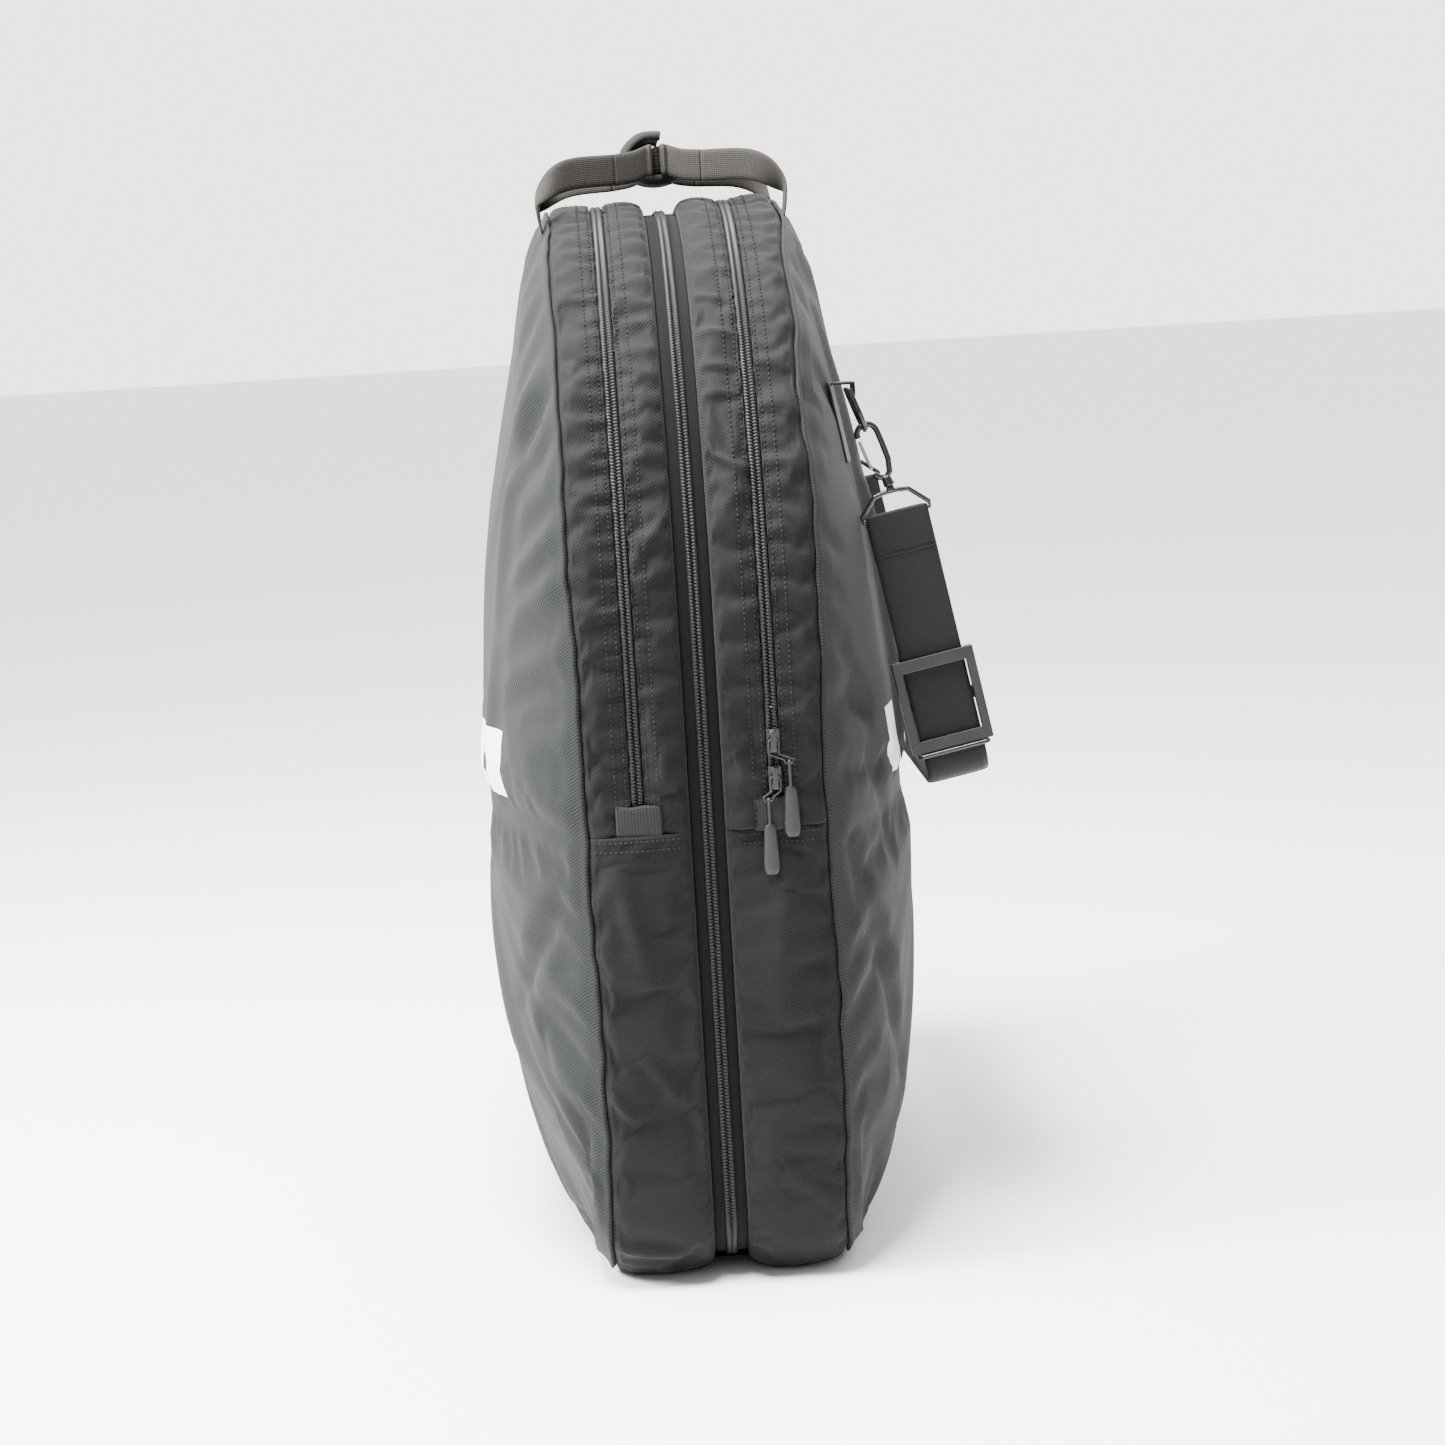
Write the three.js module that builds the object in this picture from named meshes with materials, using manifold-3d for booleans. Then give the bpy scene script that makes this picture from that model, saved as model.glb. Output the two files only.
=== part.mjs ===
// A tall double-compartment skate bag with a carry handle and a clip-on shoulder strap.
// Millimetres, +Z up. The bag stands on z = 0, its narrow zipped sides face -Y (near) and +Y (far).
import * as THREE from 'three';
import { mergeVertices } from 'three/addons/utils/BufferGeometryUtils.js';
import Module from 'manifold-3d';

const wasm = await Module();
wasm.setup();

// ---- Driving dimensions ----------------------------------------------------------------------
const HEIGHT = 832;
const HALF_DEPTH = 292;
const ARCH_START = 450;
const ARCH_POWER = 2.24;
const BASE_CORNER = 60;
const GUSSET_HALF = 91;
const BULGE = 78;
const HINGE_Z = 358;
const PANEL = 4;
const GAP = 0.4;

// Across the gusset, measured from the middle of the bag.
const ZIP_X = 52;
const SLOT_HALF = 5.5;
const STRIP_INNER = 13;
const COIL_HALF_GAP = 0.8;
const COIL_WIDE = 4;
const TAPE_TAIL = 9;
const CENTRE_RECESS = 7;
const FACE_X = GUSSET_HALF + GAP;

// How the broad faces swell: powers of the shares of the way out to each edge.
const SWELL_ACROSS = [2.6, 0.85];
const SWELL_ABOVE = 1.6;
const SWELL_BELOW = [3, 0.5];

// Carry handle.
const ROOT_Y = 90;
const WEBBING = 25;
const WEBBING_THICK = 2;
const GRIP_HALF = [30, 42, 22];
const WRAP_WALL = 6;
const WRAP_ARC = [80, 312];
const BAR_X = 4;
const BAR_Z = 866;
const LEG_TOP_X = 35;
const LEG_TOP_Z = 859;
const WRAP_Z = 868;

// Shoulder strap. Its frame hangs from the two D-rings' straight bars, leaning out from the bag.
const RING_Y = 172;
const RING_Z = 676;
const RING_GAP = 11;
const RING_WIRE = 1.7;
const RING_WIDE = 30;
const RING_DROP = 34;
const HOOK_LEAN = THREE.MathUtils.degToRad(21);
const STRAP_LEAN = THREE.MathUtils.degToRad(11);
const HOOK_WIRE = 2;
const HOOK_RADIUS = 8;
const HOOK_LONG = 40;
const LOOP_TOP = 5;
const LOOP_LOW = 24;
const STRAP_WIDE = 50;
const STRAP_THICK = 1.8;
const FOLD_RADIUS = 3;
const STRAP_BOTTOM = 218;
const STRAP_TURN = 24;
const ADJUSTER_MID = 152;
const ADJUSTER_HALF = [33, 38];
const RAIL_DEEP = 9;
const CROSS_BAR = { thick: 2.4, high: 10, offset: 3.3 };
const LOOP_WIRE = 1.5;
const ADJUSTER_WIRE = 1.4;
const GATE_WIRE = 1.5;
const CHAPE_DROP = 56;
const CHAPE_THICK = 2;

// Zip sliders, measured up from the zips' lower ends.
const LOWER_SLIDER = 38;
const UPPER_SLIDER = 66;
const PULL_DROP = 22;
const BAIL_DEPTH = 6.4;
const BAIL_FOOT = -18;
const LOWER_SHIFT = -6;
const UPPER_SHIFT = 11;

// ---- Solids ----------------------------------------------------------------------------------
function bodyFrom(positions, indices) {
  const geometry = new THREE.BufferGeometry();
  geometry.setAttribute('position', new THREE.Float32BufferAttribute(positions, 3));
  geometry.setIndex(indices);
  let volume = 0;
  const [a, b, c] = [new THREE.Vector3(), new THREE.Vector3(), new THREE.Vector3()];
  for (let i = 0; i < indices.length; i += 3) {
    a.fromArray(positions, 3 * indices[i]);
    b.fromArray(positions, 3 * indices[i + 1]);
    c.fromArray(positions, 3 * indices[i + 2]);
    volume += a.dot(b.cross(c));
  }
  if (volume < 0) {
    for (let i = 0; i < indices.length; i += 3) {
      [indices[i], indices[i + 1]] = [indices[i + 1], indices[i]];
    }
    geometry.setIndex(indices);
  }
  return geometry;
}

// Joins rings of points into one body: capped at both ends, or closed into a loop.
function loft(rings, { loop = false, outline = null } = {}) {
  const count = rings[0].length;
  const positions = rings.flat().flatMap((p) => [p.x, p.y, p.z]);
  const indices = [];
  const spans = loop ? rings.length : rings.length - 1;
  for (let r = 0; r < spans; r += 1) {
    const next = (r + 1) % rings.length;
    for (let k = 0; k < count; k += 1) {
      const l = (k + 1) % count;
      const [p, q, s, t] = [r * count + k, r * count + l, next * count + l, next * count + k];
      indices.push(p, q, s, p, s, t);
    }
  }
  if (!loop) {
    const flat = outline ?? rings[0].map((p, k) => circlePoint(k, count));
    const last = (rings.length - 1) * count;
    const clockwise = THREE.ShapeUtils.area(flat) < 0;
    for (const triangle of THREE.ShapeUtils.triangulateShape(flat, [])) {
      const [i, j, k] = turnedWith(triangle, flat, clockwise);
      indices.push(k, j, i, last + i, last + j, last + k);
    }
  }
  return bodyFrom(positions, indices);
}

function circlePoint(k, count) {
  const angle = (2 * Math.PI * k) / count;
  return new THREE.Vector2(Math.cos(angle), Math.sin(angle));
}

function vectors(points) {
  return points.map((p) => new THREE.Vector3(...p));
}

function tangentAt(points, i, loop) {
  const n = points.length;
  const before = loop ? points[(i + n - 1) % n] : points[Math.max(i - 1, 0)];
  const after = loop ? points[(i + 1) % n] : points[Math.min(i + 1, n - 1)];
  return new THREE.Vector3().subVectors(after, before).normalize();
}

// The triangle's corners, in the outline's own turning direction.
function turnedWith([i, j, k], flat, clockwise) {
  const turn = THREE.ShapeUtils.area([flat[i], flat[j], flat[k]]);
  return (turn < 0) === clockwise ? [i, j, k] : [k, j, i];
}

// A round wire or cord along a list of points. `side` is any direction off the wire's plane.
function wire(points, radius, { loop = false, side = [0, 1, 0], sides = 8 } = {}) {
  const rings = points.map((p, i) => {
    const across = new THREE.Vector3(...side);
    const up = new THREE.Vector3().crossVectors(tangentAt(points, i, loop), across).normalize();
    return Array.from({ length: sides }, (_, k) => {
      const c = circlePoint(k, sides).multiplyScalar(radius);
      return p.clone().addScaledVector(across, c.x).addScaledVector(up, c.y);
    });
  });
  return loft(rings, { loop });
}

// A flat band along a list of points, with the direction of its width given at each point.
function band(points, widths, width, thickness) {
  const rings = points.map((p, i) => {
    const across = widths[i].clone().normalize();
    const normal = new THREE.Vector3().crossVectors(tangentAt(points, i, false), across).normalize();
    const corner = (u, v) => p.clone()
      .addScaledVector(across, (u * width) / 2)
      .addScaledVector(normal, (v * thickness) / 2);
    return [corner(-1, -1), corner(1, -1), corner(1, 1), corner(-1, 1)];
  });
  return loft(rings);
}

function box(sizeX, sizeY, sizeZ, x, y, z) {
  const geometry = new THREE.BoxGeometry(sizeX, sizeY, sizeZ);
  geometry.translate(x, y, z);
  return geometry;
}

function toManifold(geometry) {
  const bare = geometry.clone();
  bare.deleteAttribute('normal');
  bare.deleteAttribute('uv');
  const merged = mergeVertices(bare, 1e-4);
  return new wasm.Manifold(new wasm.Mesh({
    numProp: 3,
    vertProperties: new Float32Array(merged.attributes.position.array),
    triVerts: new Uint32Array(merged.index.array),
  }));
}

function fromManifold(solid) {
  const mesh = solid.getMesh();
  const geometry = new THREE.BufferGeometry();
  geometry.setAttribute('position', new THREE.BufferAttribute(mesh.vertProperties, 3));
  geometry.setIndex(new THREE.BufferAttribute(mesh.triVerts, 1));
  return geometry;
}

function join(...geometries) {
  return fromManifold(geometries.map(toManifold).reduce((all, next) => all.add(next)));
}

// ---- The bag's outline, seen along X ---------------------------------------------------------
function outlineDepth(z) {
  if (z < BASE_CORNER) {
    const drop = BASE_CORNER - z;
    return HALF_DEPTH - BASE_CORNER + Math.sqrt(BASE_CORNER ** 2 - drop ** 2);
  }
  if (z <= ARCH_START) return HALF_DEPTH;
  const rise = Math.min((z - ARCH_START) / (HEIGHT - ARCH_START), 1);
  return HALF_DEPTH * (1 - rise ** ARCH_POWER) ** (1 / ARCH_POWER);
}

function archPoint(angle) {
  const [c, s] = [Math.cos(angle), Math.sin(angle)];
  const y = -HALF_DEPTH * Math.sign(c) * Math.abs(c) ** (2 / ARCH_POWER);
  return [y, ARCH_START + (HEIGHT - ARCH_START) * s ** (2 / ARCH_POWER)];
}

// Runs are lists of [y, z] that follow the outline.
function upperRun(endZ, archSteps = 32, sideSteps = 3) {
  const side = Array.from({ length: sideSteps }, (_, i) => {
    const z = endZ + ((ARCH_START - endZ) * i) / sideSteps;
    return [-HALF_DEPTH, z];
  });
  const arch = Array.from({ length: archSteps + 1 }, (_, i) => archPoint((Math.PI * i) / archSteps));
  return [...side, ...arch, ...side.map(([y, z]) => [-y, z]).reverse()];
}

function lowerRun(towards, topZ) {
  const corner = Array.from({ length: 7 }, (_, i) => {
    const angle = (Math.PI / 2) * (i / 6);
    const centre = HALF_DEPTH - BASE_CORNER;
    return [centre + BASE_CORNER * Math.cos(angle), BASE_CORNER * (1 - Math.sin(angle))];
  });
  const side = [topZ, (topZ + BASE_CORNER) / 2].map((z) => [HALF_DEPTH, z]);
  return [...side, ...corner].map(([y, z]) => [towards * y, z]);
}

function runNormals(run) {
  return run.map((_, i) => {
    const [a, b] = [run[Math.max(i - 1, 0)], run[Math.min(i + 1, run.length - 1)]];
    const normal = new THREE.Vector2(-(b[1] - a[1]), b[0] - a[0]).normalize();
    const [y, z] = run[i];
    const outward = new THREE.Vector2(y, z - ARCH_START / 2);
    return normal.dot(outward) < 0 ? normal.negate() : normal;
  });
}

// Sweeps a section of [x, depth below the outline] along a run.
function alongRun(run, section) {
  const normals = runNormals(run);
  const rings = run.map(([y, z], i) => section.map(([x, depth]) => (
    new THREE.Vector3(x, y - normals[i].x * depth, z - normals[i].y * depth))));
  return loft(rings, { outline: section.map(([x, d]) => new THREE.Vector2(x, d)) });
}

function strip(run, x0, x1, outer = 0, inner = PANEL) {
  return alongRun(run, [[x0, outer], [x1, outer], [x1, inner], [x0, inner]]);
}

// ---- Fabric panels ---------------------------------------------------------------------------
function faceBulge(y, z) {
  const share = Math.abs(y / Math.max(outlineDepth(z), 1));
  const rise = Math.max(z - HINGE_Z, 0) / (HEIGHT - HINGE_Z);
  const drop = Math.max(HINGE_Z - z, 0) / HINGE_Z;
  const across = Math.max(1 - share ** SWELL_ACROSS[0], 0) ** SWELL_ACROSS[1];
  const above = Math.max(1 - rise ** SWELL_ABOVE, 0);
  const below = Math.max(1 - drop ** SWELL_BELOW[0], 0) ** SWELL_BELOW[1];
  return BULGE * across * above * below;
}

// Rows of points on the outer and inner surfaces, closed round the edge into one body.
function slab(outer, inner) {
  const [rows, columns] = [outer.length, outer[0].length];
  const positions = [outer, inner].flat(2).flatMap((p) => [p.x, p.y, p.z]);
  const indices = [];
  const at = (face, r, c) => face * rows * columns + r * columns + c;
  const quad = (p, q, s, t) => indices.push(p, q, s, p, s, t);
  for (let r = 0; r < rows - 1; r += 1) {
    for (let c = 0; c < columns - 1; c += 1) {
      quad(at(0, r, c), at(0, r, c + 1), at(0, r + 1, c + 1), at(0, r + 1, c));
      quad(at(1, r, c), at(1, r + 1, c), at(1, r + 1, c + 1), at(1, r, c + 1));
    }
    quad(at(0, r, 0), at(0, r + 1, 0), at(1, r + 1, 0), at(1, r, 0));
    quad(at(0, r + 1, columns - 1), at(0, r, columns - 1), at(1, r, columns - 1), at(1, r + 1, columns - 1));
  }
  for (let c = 0; c < columns - 1; c += 1) {
    quad(at(0, 0, c + 1), at(0, 0, c), at(1, 0, c), at(1, 0, c + 1));
    quad(at(0, rows - 1, c), at(0, rows - 1, c + 1), at(1, rows - 1, c + 1), at(1, rows - 1, c));
  }
  return bodyFrom(positions, indices);
}

function facePanel(side, zLow, zHigh) {
  const [rows, columns] = [12, 14];
  const surface = (lift) => Array.from({ length: rows + 1 }, (_, r) => {
    const z = zLow + (zHigh - zLow) * Math.sin((Math.PI / 2) * (r / rows));
    const edge = outlineDepth(z) - GAP;
    return Array.from({ length: columns + 1 }, (_u, c) => {
      const y = -edge * Math.cos((Math.PI * c) / columns);
      return new THREE.Vector3(side * (FACE_X + lift + faceBulge(y, z)), y, z);
    });
  });
  return slab(surface(PANEL), surface(0));
}

function dividerPanel(side) {
  const half = [];
  const inset = PANEL + 6;
  for (const z of [inset, 20, 40, BASE_CORNER, ARCH_START]) {
    half.push([outlineDepth(z) - inset, z]);
  }
  for (const [y, z] of Array.from({ length: 14 }, (_, i) => archPoint(Math.PI * (1 - (i + 1) / 30)))) {
    half.push([(y * (HALF_DEPTH - inset)) / HALF_DEPTH, z - inset]);
  }
  const mirrored = half.map(([y, z]) => [-y, z]).reverse();
  const shape = new THREE.Shape([...half, ...mirrored].map(([y, z]) => new THREE.Vector2(y, z)));
  const geometry = new THREE.ExtrudeGeometry(shape, { depth: PANEL - 1, bevelEnabled: false });
  geometry.rotateX(Math.PI / 2);
  geometry.rotateZ(Math.PI / 2);
  geometry.translate(side > 0 ? STRIP_INNER : -STRIP_INNER - (PANEL - 1), 0, 0);
  return geometry;
}

// ---- Zips ------------------------------------------------------------------------------------
// One half of a coil zip: the coil at `x`, and its tape running away from it under the panel.
function zipHalf(run, x, away, recess, tail) {
  const [coilEdge, tapeEdge] = [x + away * COIL_WIDE, x + away * (COIL_WIDE + tail)];
  const [coilTop, tapeTop] = [recess - 0.6, recess + PANEL + GAP];
  const tapeLow = tapeTop + 1.2;
  return alongRun(run, [
    [x, coilTop], [coilEdge, coilTop], [coilEdge, tapeTop],
    [tapeEdge, tapeTop], [tapeEdge, tapeLow], [x, tapeLow],
  ]);
}

// A slider, drawn on a zip that lies in the XZ plane and is worked from -Y. Its middle is the origin.
function sliderBody() {
  const front = box(10, 1.6, 18, 0, -2.8, 0);
  const back = box(10, 1.2, 16, 0, 7, 0);
  const post = box(0.9, 10, 5, 0, 2.4, 5);
  const crownFeet = [-6.5, 6.5].map((z) => box(4, 6, 2.4, 0, -6, z));
  const crownBar = box(4, 1.6, 15.4, 0, -9, 0);
  return join(front, back, post, ...crownFeet, crownBar);
}

// The wire bail behind the slider's crown bar: its foot hangs `shift` to one side.
function bailWire(shift) {
  const head = [[-3.6, -1], [-3, 0], [3, 0], [3.6, -1]];
  const foot = [[3.6, -15], [2.4, BAIL_FOOT], [-2.4, BAIL_FOOT], [-3.6, -15]]
    .map(([x, z]) => [x + shift, z]);
  const shoulder = [[-3.6, -10.5], [3.6, -10.5]];
  const corners = [shoulder[0], ...head, shoulder[1], ...foot];
  return wire(vectors(corners.map(([x, z]) => [x, 0, z])), 0.8, { loop: true });
}

// A doubled cord looped round the bail's foot, ending in a moulded grip.
function cordPull(length) {
  const turn = Array.from({ length: 7 }, (_, i) => {
    const angle = Math.PI * (i / 6);
    return [0, -2.3 * Math.cos(angle), 2.3 * Math.sin(angle)];
  });
  const path = vectors([[0, -1.6, -length], ...turn, [0, 1.6, -length]]);
  const cord = wire(path, 1.1, { side: [1, 0, 0] });
  const stations = [[0, 3.4, 2.8], [3, 4.6, 3], [14, 5.2, 2.9], [26, 6, 2.7], [34, 6, 2.6], [38, 4.2, 2]];
  const grip = loft(stations.map(([drop, wide, thick]) => Array.from({ length: 12 }, (_, k) => {
    const c = circlePoint(k, 12);
    return new THREE.Vector3(wide * c.x, thick * c.y, -length + 4 - drop);
  })));
  return join(cord, grip);
}

// ---- Handle ----------------------------------------------------------------------------------
function handleLeg(side, towards) {
  const path = new THREE.CatmullRomCurve3(vectors([
    [side * (FACE_X + 8), towards * ROOT_Y, 826],
    [side * (FACE_X + 7), towards * (ROOT_Y - 3), 839],
    [side * (FACE_X - 6), towards * (ROOT_Y - 8), 851],
    [side * 68, towards * (ROOT_Y - 16), 857.5],
    [side * LEG_TOP_X, towards * (ROOT_Y - 30), LEG_TOP_Z],
  ]));
  const steps = 12;
  const points = path.getPoints(steps);
  const along = new THREE.Vector3(0, 1, 0);
  const upright = new THREE.Vector3(0, 0, towards * side);
  const widths = points.map((_, i) => along.clone().lerp(upright, Math.min((i / steps) * 1.6, 1)));
  return band(points, widths, WEBBING, WEBBING_THICK);
}

// The handle's middle run, upright inside the wrap, from one leg's end to the other's.
function handleBar(side) {
  const bend = [[LEG_TOP_X - 1, 60.6, LEG_TOP_Z], [20, 54, 861], [9, 48, 865], [BAR_X, 41, BAR_Z]];
  const half = bend.map(([x, y, z]) => [side * x, -y, z]);
  const mirrored = half.map(([x, y, z]) => [x, -y, z]).reverse();
  const points = vectors([...half, ...mirrored]);
  return band(points, points.map(() => new THREE.Vector3(0, 0, 1)), WEBBING, WEBBING_THICK);
}

// The padded wrap: a thick sheet rolled round both runs, with its mouth on the right.
function gripWrap() {
  const [halfWide, halfLong, halfHigh] = GRIP_HALF;
  const [from, to] = WRAP_ARC.map(THREE.MathUtils.degToRad);
  const steps = 14;
  const section = (scale, inset) => Array.from({ length: steps + 1 }, (_, k) => {
    const angle = from + ((to - from) * k) / steps;
    const [wide, high] = [halfWide * scale - inset, halfHigh * scale - inset];
    return [wide * Math.cos(angle), WRAP_Z + high * Math.sin(angle)];
  });
  const stations = [[-1, 0.92], [-0.94, 0.98], [-0.5, 1], [0.5, 1], [0.94, 0.98], [1, 0.92]];
  const surface = (inset) => stations.map(([t, scale]) => (
    section(inset ? 1 : scale, inset).map(([x, z]) => new THREE.Vector3(x, t * halfLong, z))));
  return slab(surface(0), surface(WRAP_WALL));
}

// ---- Shoulder strap --------------------------------------------------------------------------
function faceX(y, z) {
  return FACE_X + PANEL + faceBulge(y, z);
}

const RING_X = faceX(RING_Y - RING_WIDE / 2, RING_Z) + RING_GAP;

// A strip of webbing sewn down the face, turned round the D-ring's bar at its top.
function chape(towards) {
  const rows = [1, 0.75, 0.5, 0.25, 0, -0.125];
  const sheet = (lift) => rows.map((share) => [-1, 0, 1].map((t) => {
    const y = RING_Y + (t * WEBBING) / 2;
    const z = RING_Z - share * CHAPE_DROP;
    return new THREE.Vector3(faceX(y, z) + lift, towards * y, z);
  }));
  const tail = slab(sheet(2.1), sheet(GAP));
  const inset = faceX(RING_Y, RING_Z) + 1.2;
  const reach = RING_X + 4.6 - inset;
  const bridge = box(reach, WEBBING, CHAPE_THICK, inset + reach / 2, towards * RING_Y, RING_Z + 5.6);
  const front = box(1.8, WEBBING, 11.2, RING_X + 3.9, towards * RING_Y, RING_Z + 1);
  return join(tail, bridge, front);
}

// The hooks are drawn in a frame whose origin is on the D-rings' bars, with the hooks down its -Z.
function ringWire(towards) {
  const half = RING_WIDE / 2;
  const bow = Array.from({ length: 9 }, (_, i) => {
    const angle = Math.PI * (i / 8);
    return [-half * Math.cos(angle), -(RING_DROP - half) - half * Math.sin(angle)];
  });
  const path = [[-half, 0], ...bow, [half, 0]];
  const points = path.map(([y, z]) => [0, towards * RING_Y + y, z]);
  return wire(vectors(points), RING_WIRE, { loop: true, side: [1, 0, 0] });
}

const HOOK_CENTRE = -(RING_DROP + HOOK_RADIUS - RING_WIRE - HOOK_WIRE - 0.5);
const HOOK_LOW = HOOK_CENTRE - HOOK_LONG;
const COLLAR_HALF = 3.5;

// A snap hook's body: the nose, the bow over the D-ring, the back and the swivel's collar.
function hookBody(towards) {
  const bow = Array.from({ length: 9 }, (_, i) => {
    const angle = Math.PI * (i / 8);
    return [-HOOK_RADIUS * Math.cos(angle), HOOK_CENTRE + HOOK_RADIUS * Math.sin(angle)];
  });
  const back = [
    [HOOK_RADIUS, HOOK_CENTRE - 10], [HOOK_RADIUS - 0.6, HOOK_CENTRE - 24],
    [HOOK_RADIUS - 3.6, HOOK_LOW + 6], [0, HOOK_LOW + 3], [-HOOK_RADIUS + 3, HOOK_LOW + 5.4],
    [-HOOK_RADIUS + 0.6, HOOK_LOW + 9],
  ];
  const path = [...bow, ...back].map(([x, z]) => [x, towards * RING_Y, z]);
  const hook = wire(vectors(path), HOOK_WIRE);
  const collar = new THREE.CylinderGeometry(3.4, 4, 2 * COLLAR_HALF, 12);
  collar.rotateX(Math.PI / 2);
  collar.translate(0, towards * RING_Y, HOOK_LOW);
  return join(hook, collar);
}

// The sprung gate, hinged on the hook's short arm.
function hookGate(towards) {
  const x = -HOOK_RADIUS;
  const [low, high] = [HOOK_LOW + 13, HOOK_CENTRE - 2.6];
  return wire(vectors([[x, towards * RING_Y, low], [x, towards * RING_Y, high]]), GATE_WIRE);
}

// The flat-sided loop that the webbing folds round. Its frame's origin is the end of the hook's collar.
function webbingLoop(towards) {
  const y = towards * RING_Y;
  const half = STRAP_WIDE / 2 + 2.2;
  const path = [
    [-5, -LOOP_TOP], [5, -LOOP_TOP], [14, -LOOP_TOP - 1.5], [half, -LOOP_LOW + 4], [half, -LOOP_LOW],
    [-half, -LOOP_LOW], [-half, -LOOP_LOW + 4], [-14, -LOOP_TOP - 1.5],
  ];
  const loop = wire(vectors(path.map(([x, z]) => [x, y, z])), LOOP_WIRE, { loop: true });
  const stem = box(5, 4, LOOP_TOP - 1, 0, y, -(LOOP_TOP + 1) / 2);
  return join(loop, stem);
}

// The webbing's frame has its origin on the loops' lower bars. As seen along X, the webbing is folded
// round one loop, hangs down beside the face, runs across it and goes up to the other loop.
function strapPath() {
  const fold = Array.from({ length: 6 }, (_, i) => {
    const angle = Math.PI * (i / 5);
    return [-RING_Y + FOLD_RADIUS * Math.cos(angle), FOLD_RADIUS * Math.sin(angle)];
  });
  const turnY = -RING_Y - FOLD_RADIUS + STRAP_TURN;
  const turn = Array.from({ length: 5 }, (_, i) => {
    const angle = (Math.PI / 2) * (i / 4);
    return [turnY - STRAP_TURN * Math.cos(angle), -STRAP_BOTTOM + STRAP_TURN * (1 - Math.sin(angle))];
  });
  const legs = [-50, -110, -170].map((z) => [-RING_Y - FOLD_RADIUS, z]);
  const half = [[-RING_Y + FOLD_RADIUS, -34], ...fold, ...legs, ...turn, [-75, -STRAP_BOTTOM]];
  return [...half, [0, -STRAP_BOTTOM], ...half.map(([y, z]) => [-y, z]).reverse()];
}

function strapWebbing() {
  const points = vectors(strapPath().map(([y, z]) => [0, y, z]));
  return band(points, points.map(() => new THREE.Vector3(1, 0, 0)), STRAP_WIDE, STRAP_THICK);
}

// A plastic frame that the near leg threads through: behind two cross bars, over a middle one.
function adjusterFrame() {
  const y = -RING_Y - FOLD_RADIUS;
  const [halfWide, halfHigh] = ADJUSTER_HALF;
  const railWide = halfWide - STRAP_WIDE / 2 - 1;
  const rails = [-1, 1].map((side) => (
    box(railWide, RAIL_DEEP, 2 * halfHigh, side * (halfWide - railWide / 2), y, -ADJUSTER_MID)));
  const { thick, high, offset } = CROSS_BAR;
  const span = 2 * halfWide - 1;
  const front = [-1, 1].map((end) => (
    box(span, thick, high, 0, y - offset, -ADJUSTER_MID + end * (halfHigh - high / 2))));
  const middle = box(span, thick, high - 1, 0, y + offset, -ADJUSTER_MID);
  return join(...rails, ...front, middle);
}

function adjusterLoop() {
  const y = -RING_Y - FOLD_RADIUS;
  const z = -ADJUSTER_MID - ADJUSTER_HALF[1] - 2.2;
  const half = STRAP_WIDE / 2 + 3;
  const corners = [[-half, -3.4], [-half + 1.5, -5], [half - 1.5, -5], [half, -3.4],
    [half, 3.4], [half - 1.5, 5], [-half + 1.5, 5], [-half, 3.4]];
  const points = vectors(corners.map(([x, dy]) => [x, y + dy, z]));
  return wire(points, ADJUSTER_WIRE, { loop: true, side: [0, 0, 1] });
}

// ---- The assembly ----------------------------------------------------------------------------
const COLOURS = {
  fabric: { color: 0x3b3e41, roughness: 0.85, metalness: 0 },
  lining: { color: 0x232527, roughness: 0.9, metalness: 0 },
  webbing: { color: 0x4a4742, roughness: 0.8, metalness: 0 },
  strap: { color: 0x2c2b2a, roughness: 0.6, metalness: 0 },
  coil: { color: 0x161718, roughness: 0.45, metalness: 0 },
  metal: { color: 0x151515, roughness: 0.35, metalness: 0.6 },
  plastic: { color: 0x2e3032, roughness: 0.5, metalness: 0 },
};

const bag = new THREE.Group();
bag.name = 'skate_bag';

function add(parent, name, geometry, look) {
  const mesh = new THREE.Mesh(geometry, new THREE.MeshStandardMaterial(COLOURS[look]));
  mesh.name = name;
  parent.add(mesh);
  return mesh;
}

const SIDES = { left: -1, right: 1 };
const ENDS = { near: -1, far: 1 };
const upper = upperRun(HINGE_Z + GAP);

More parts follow.
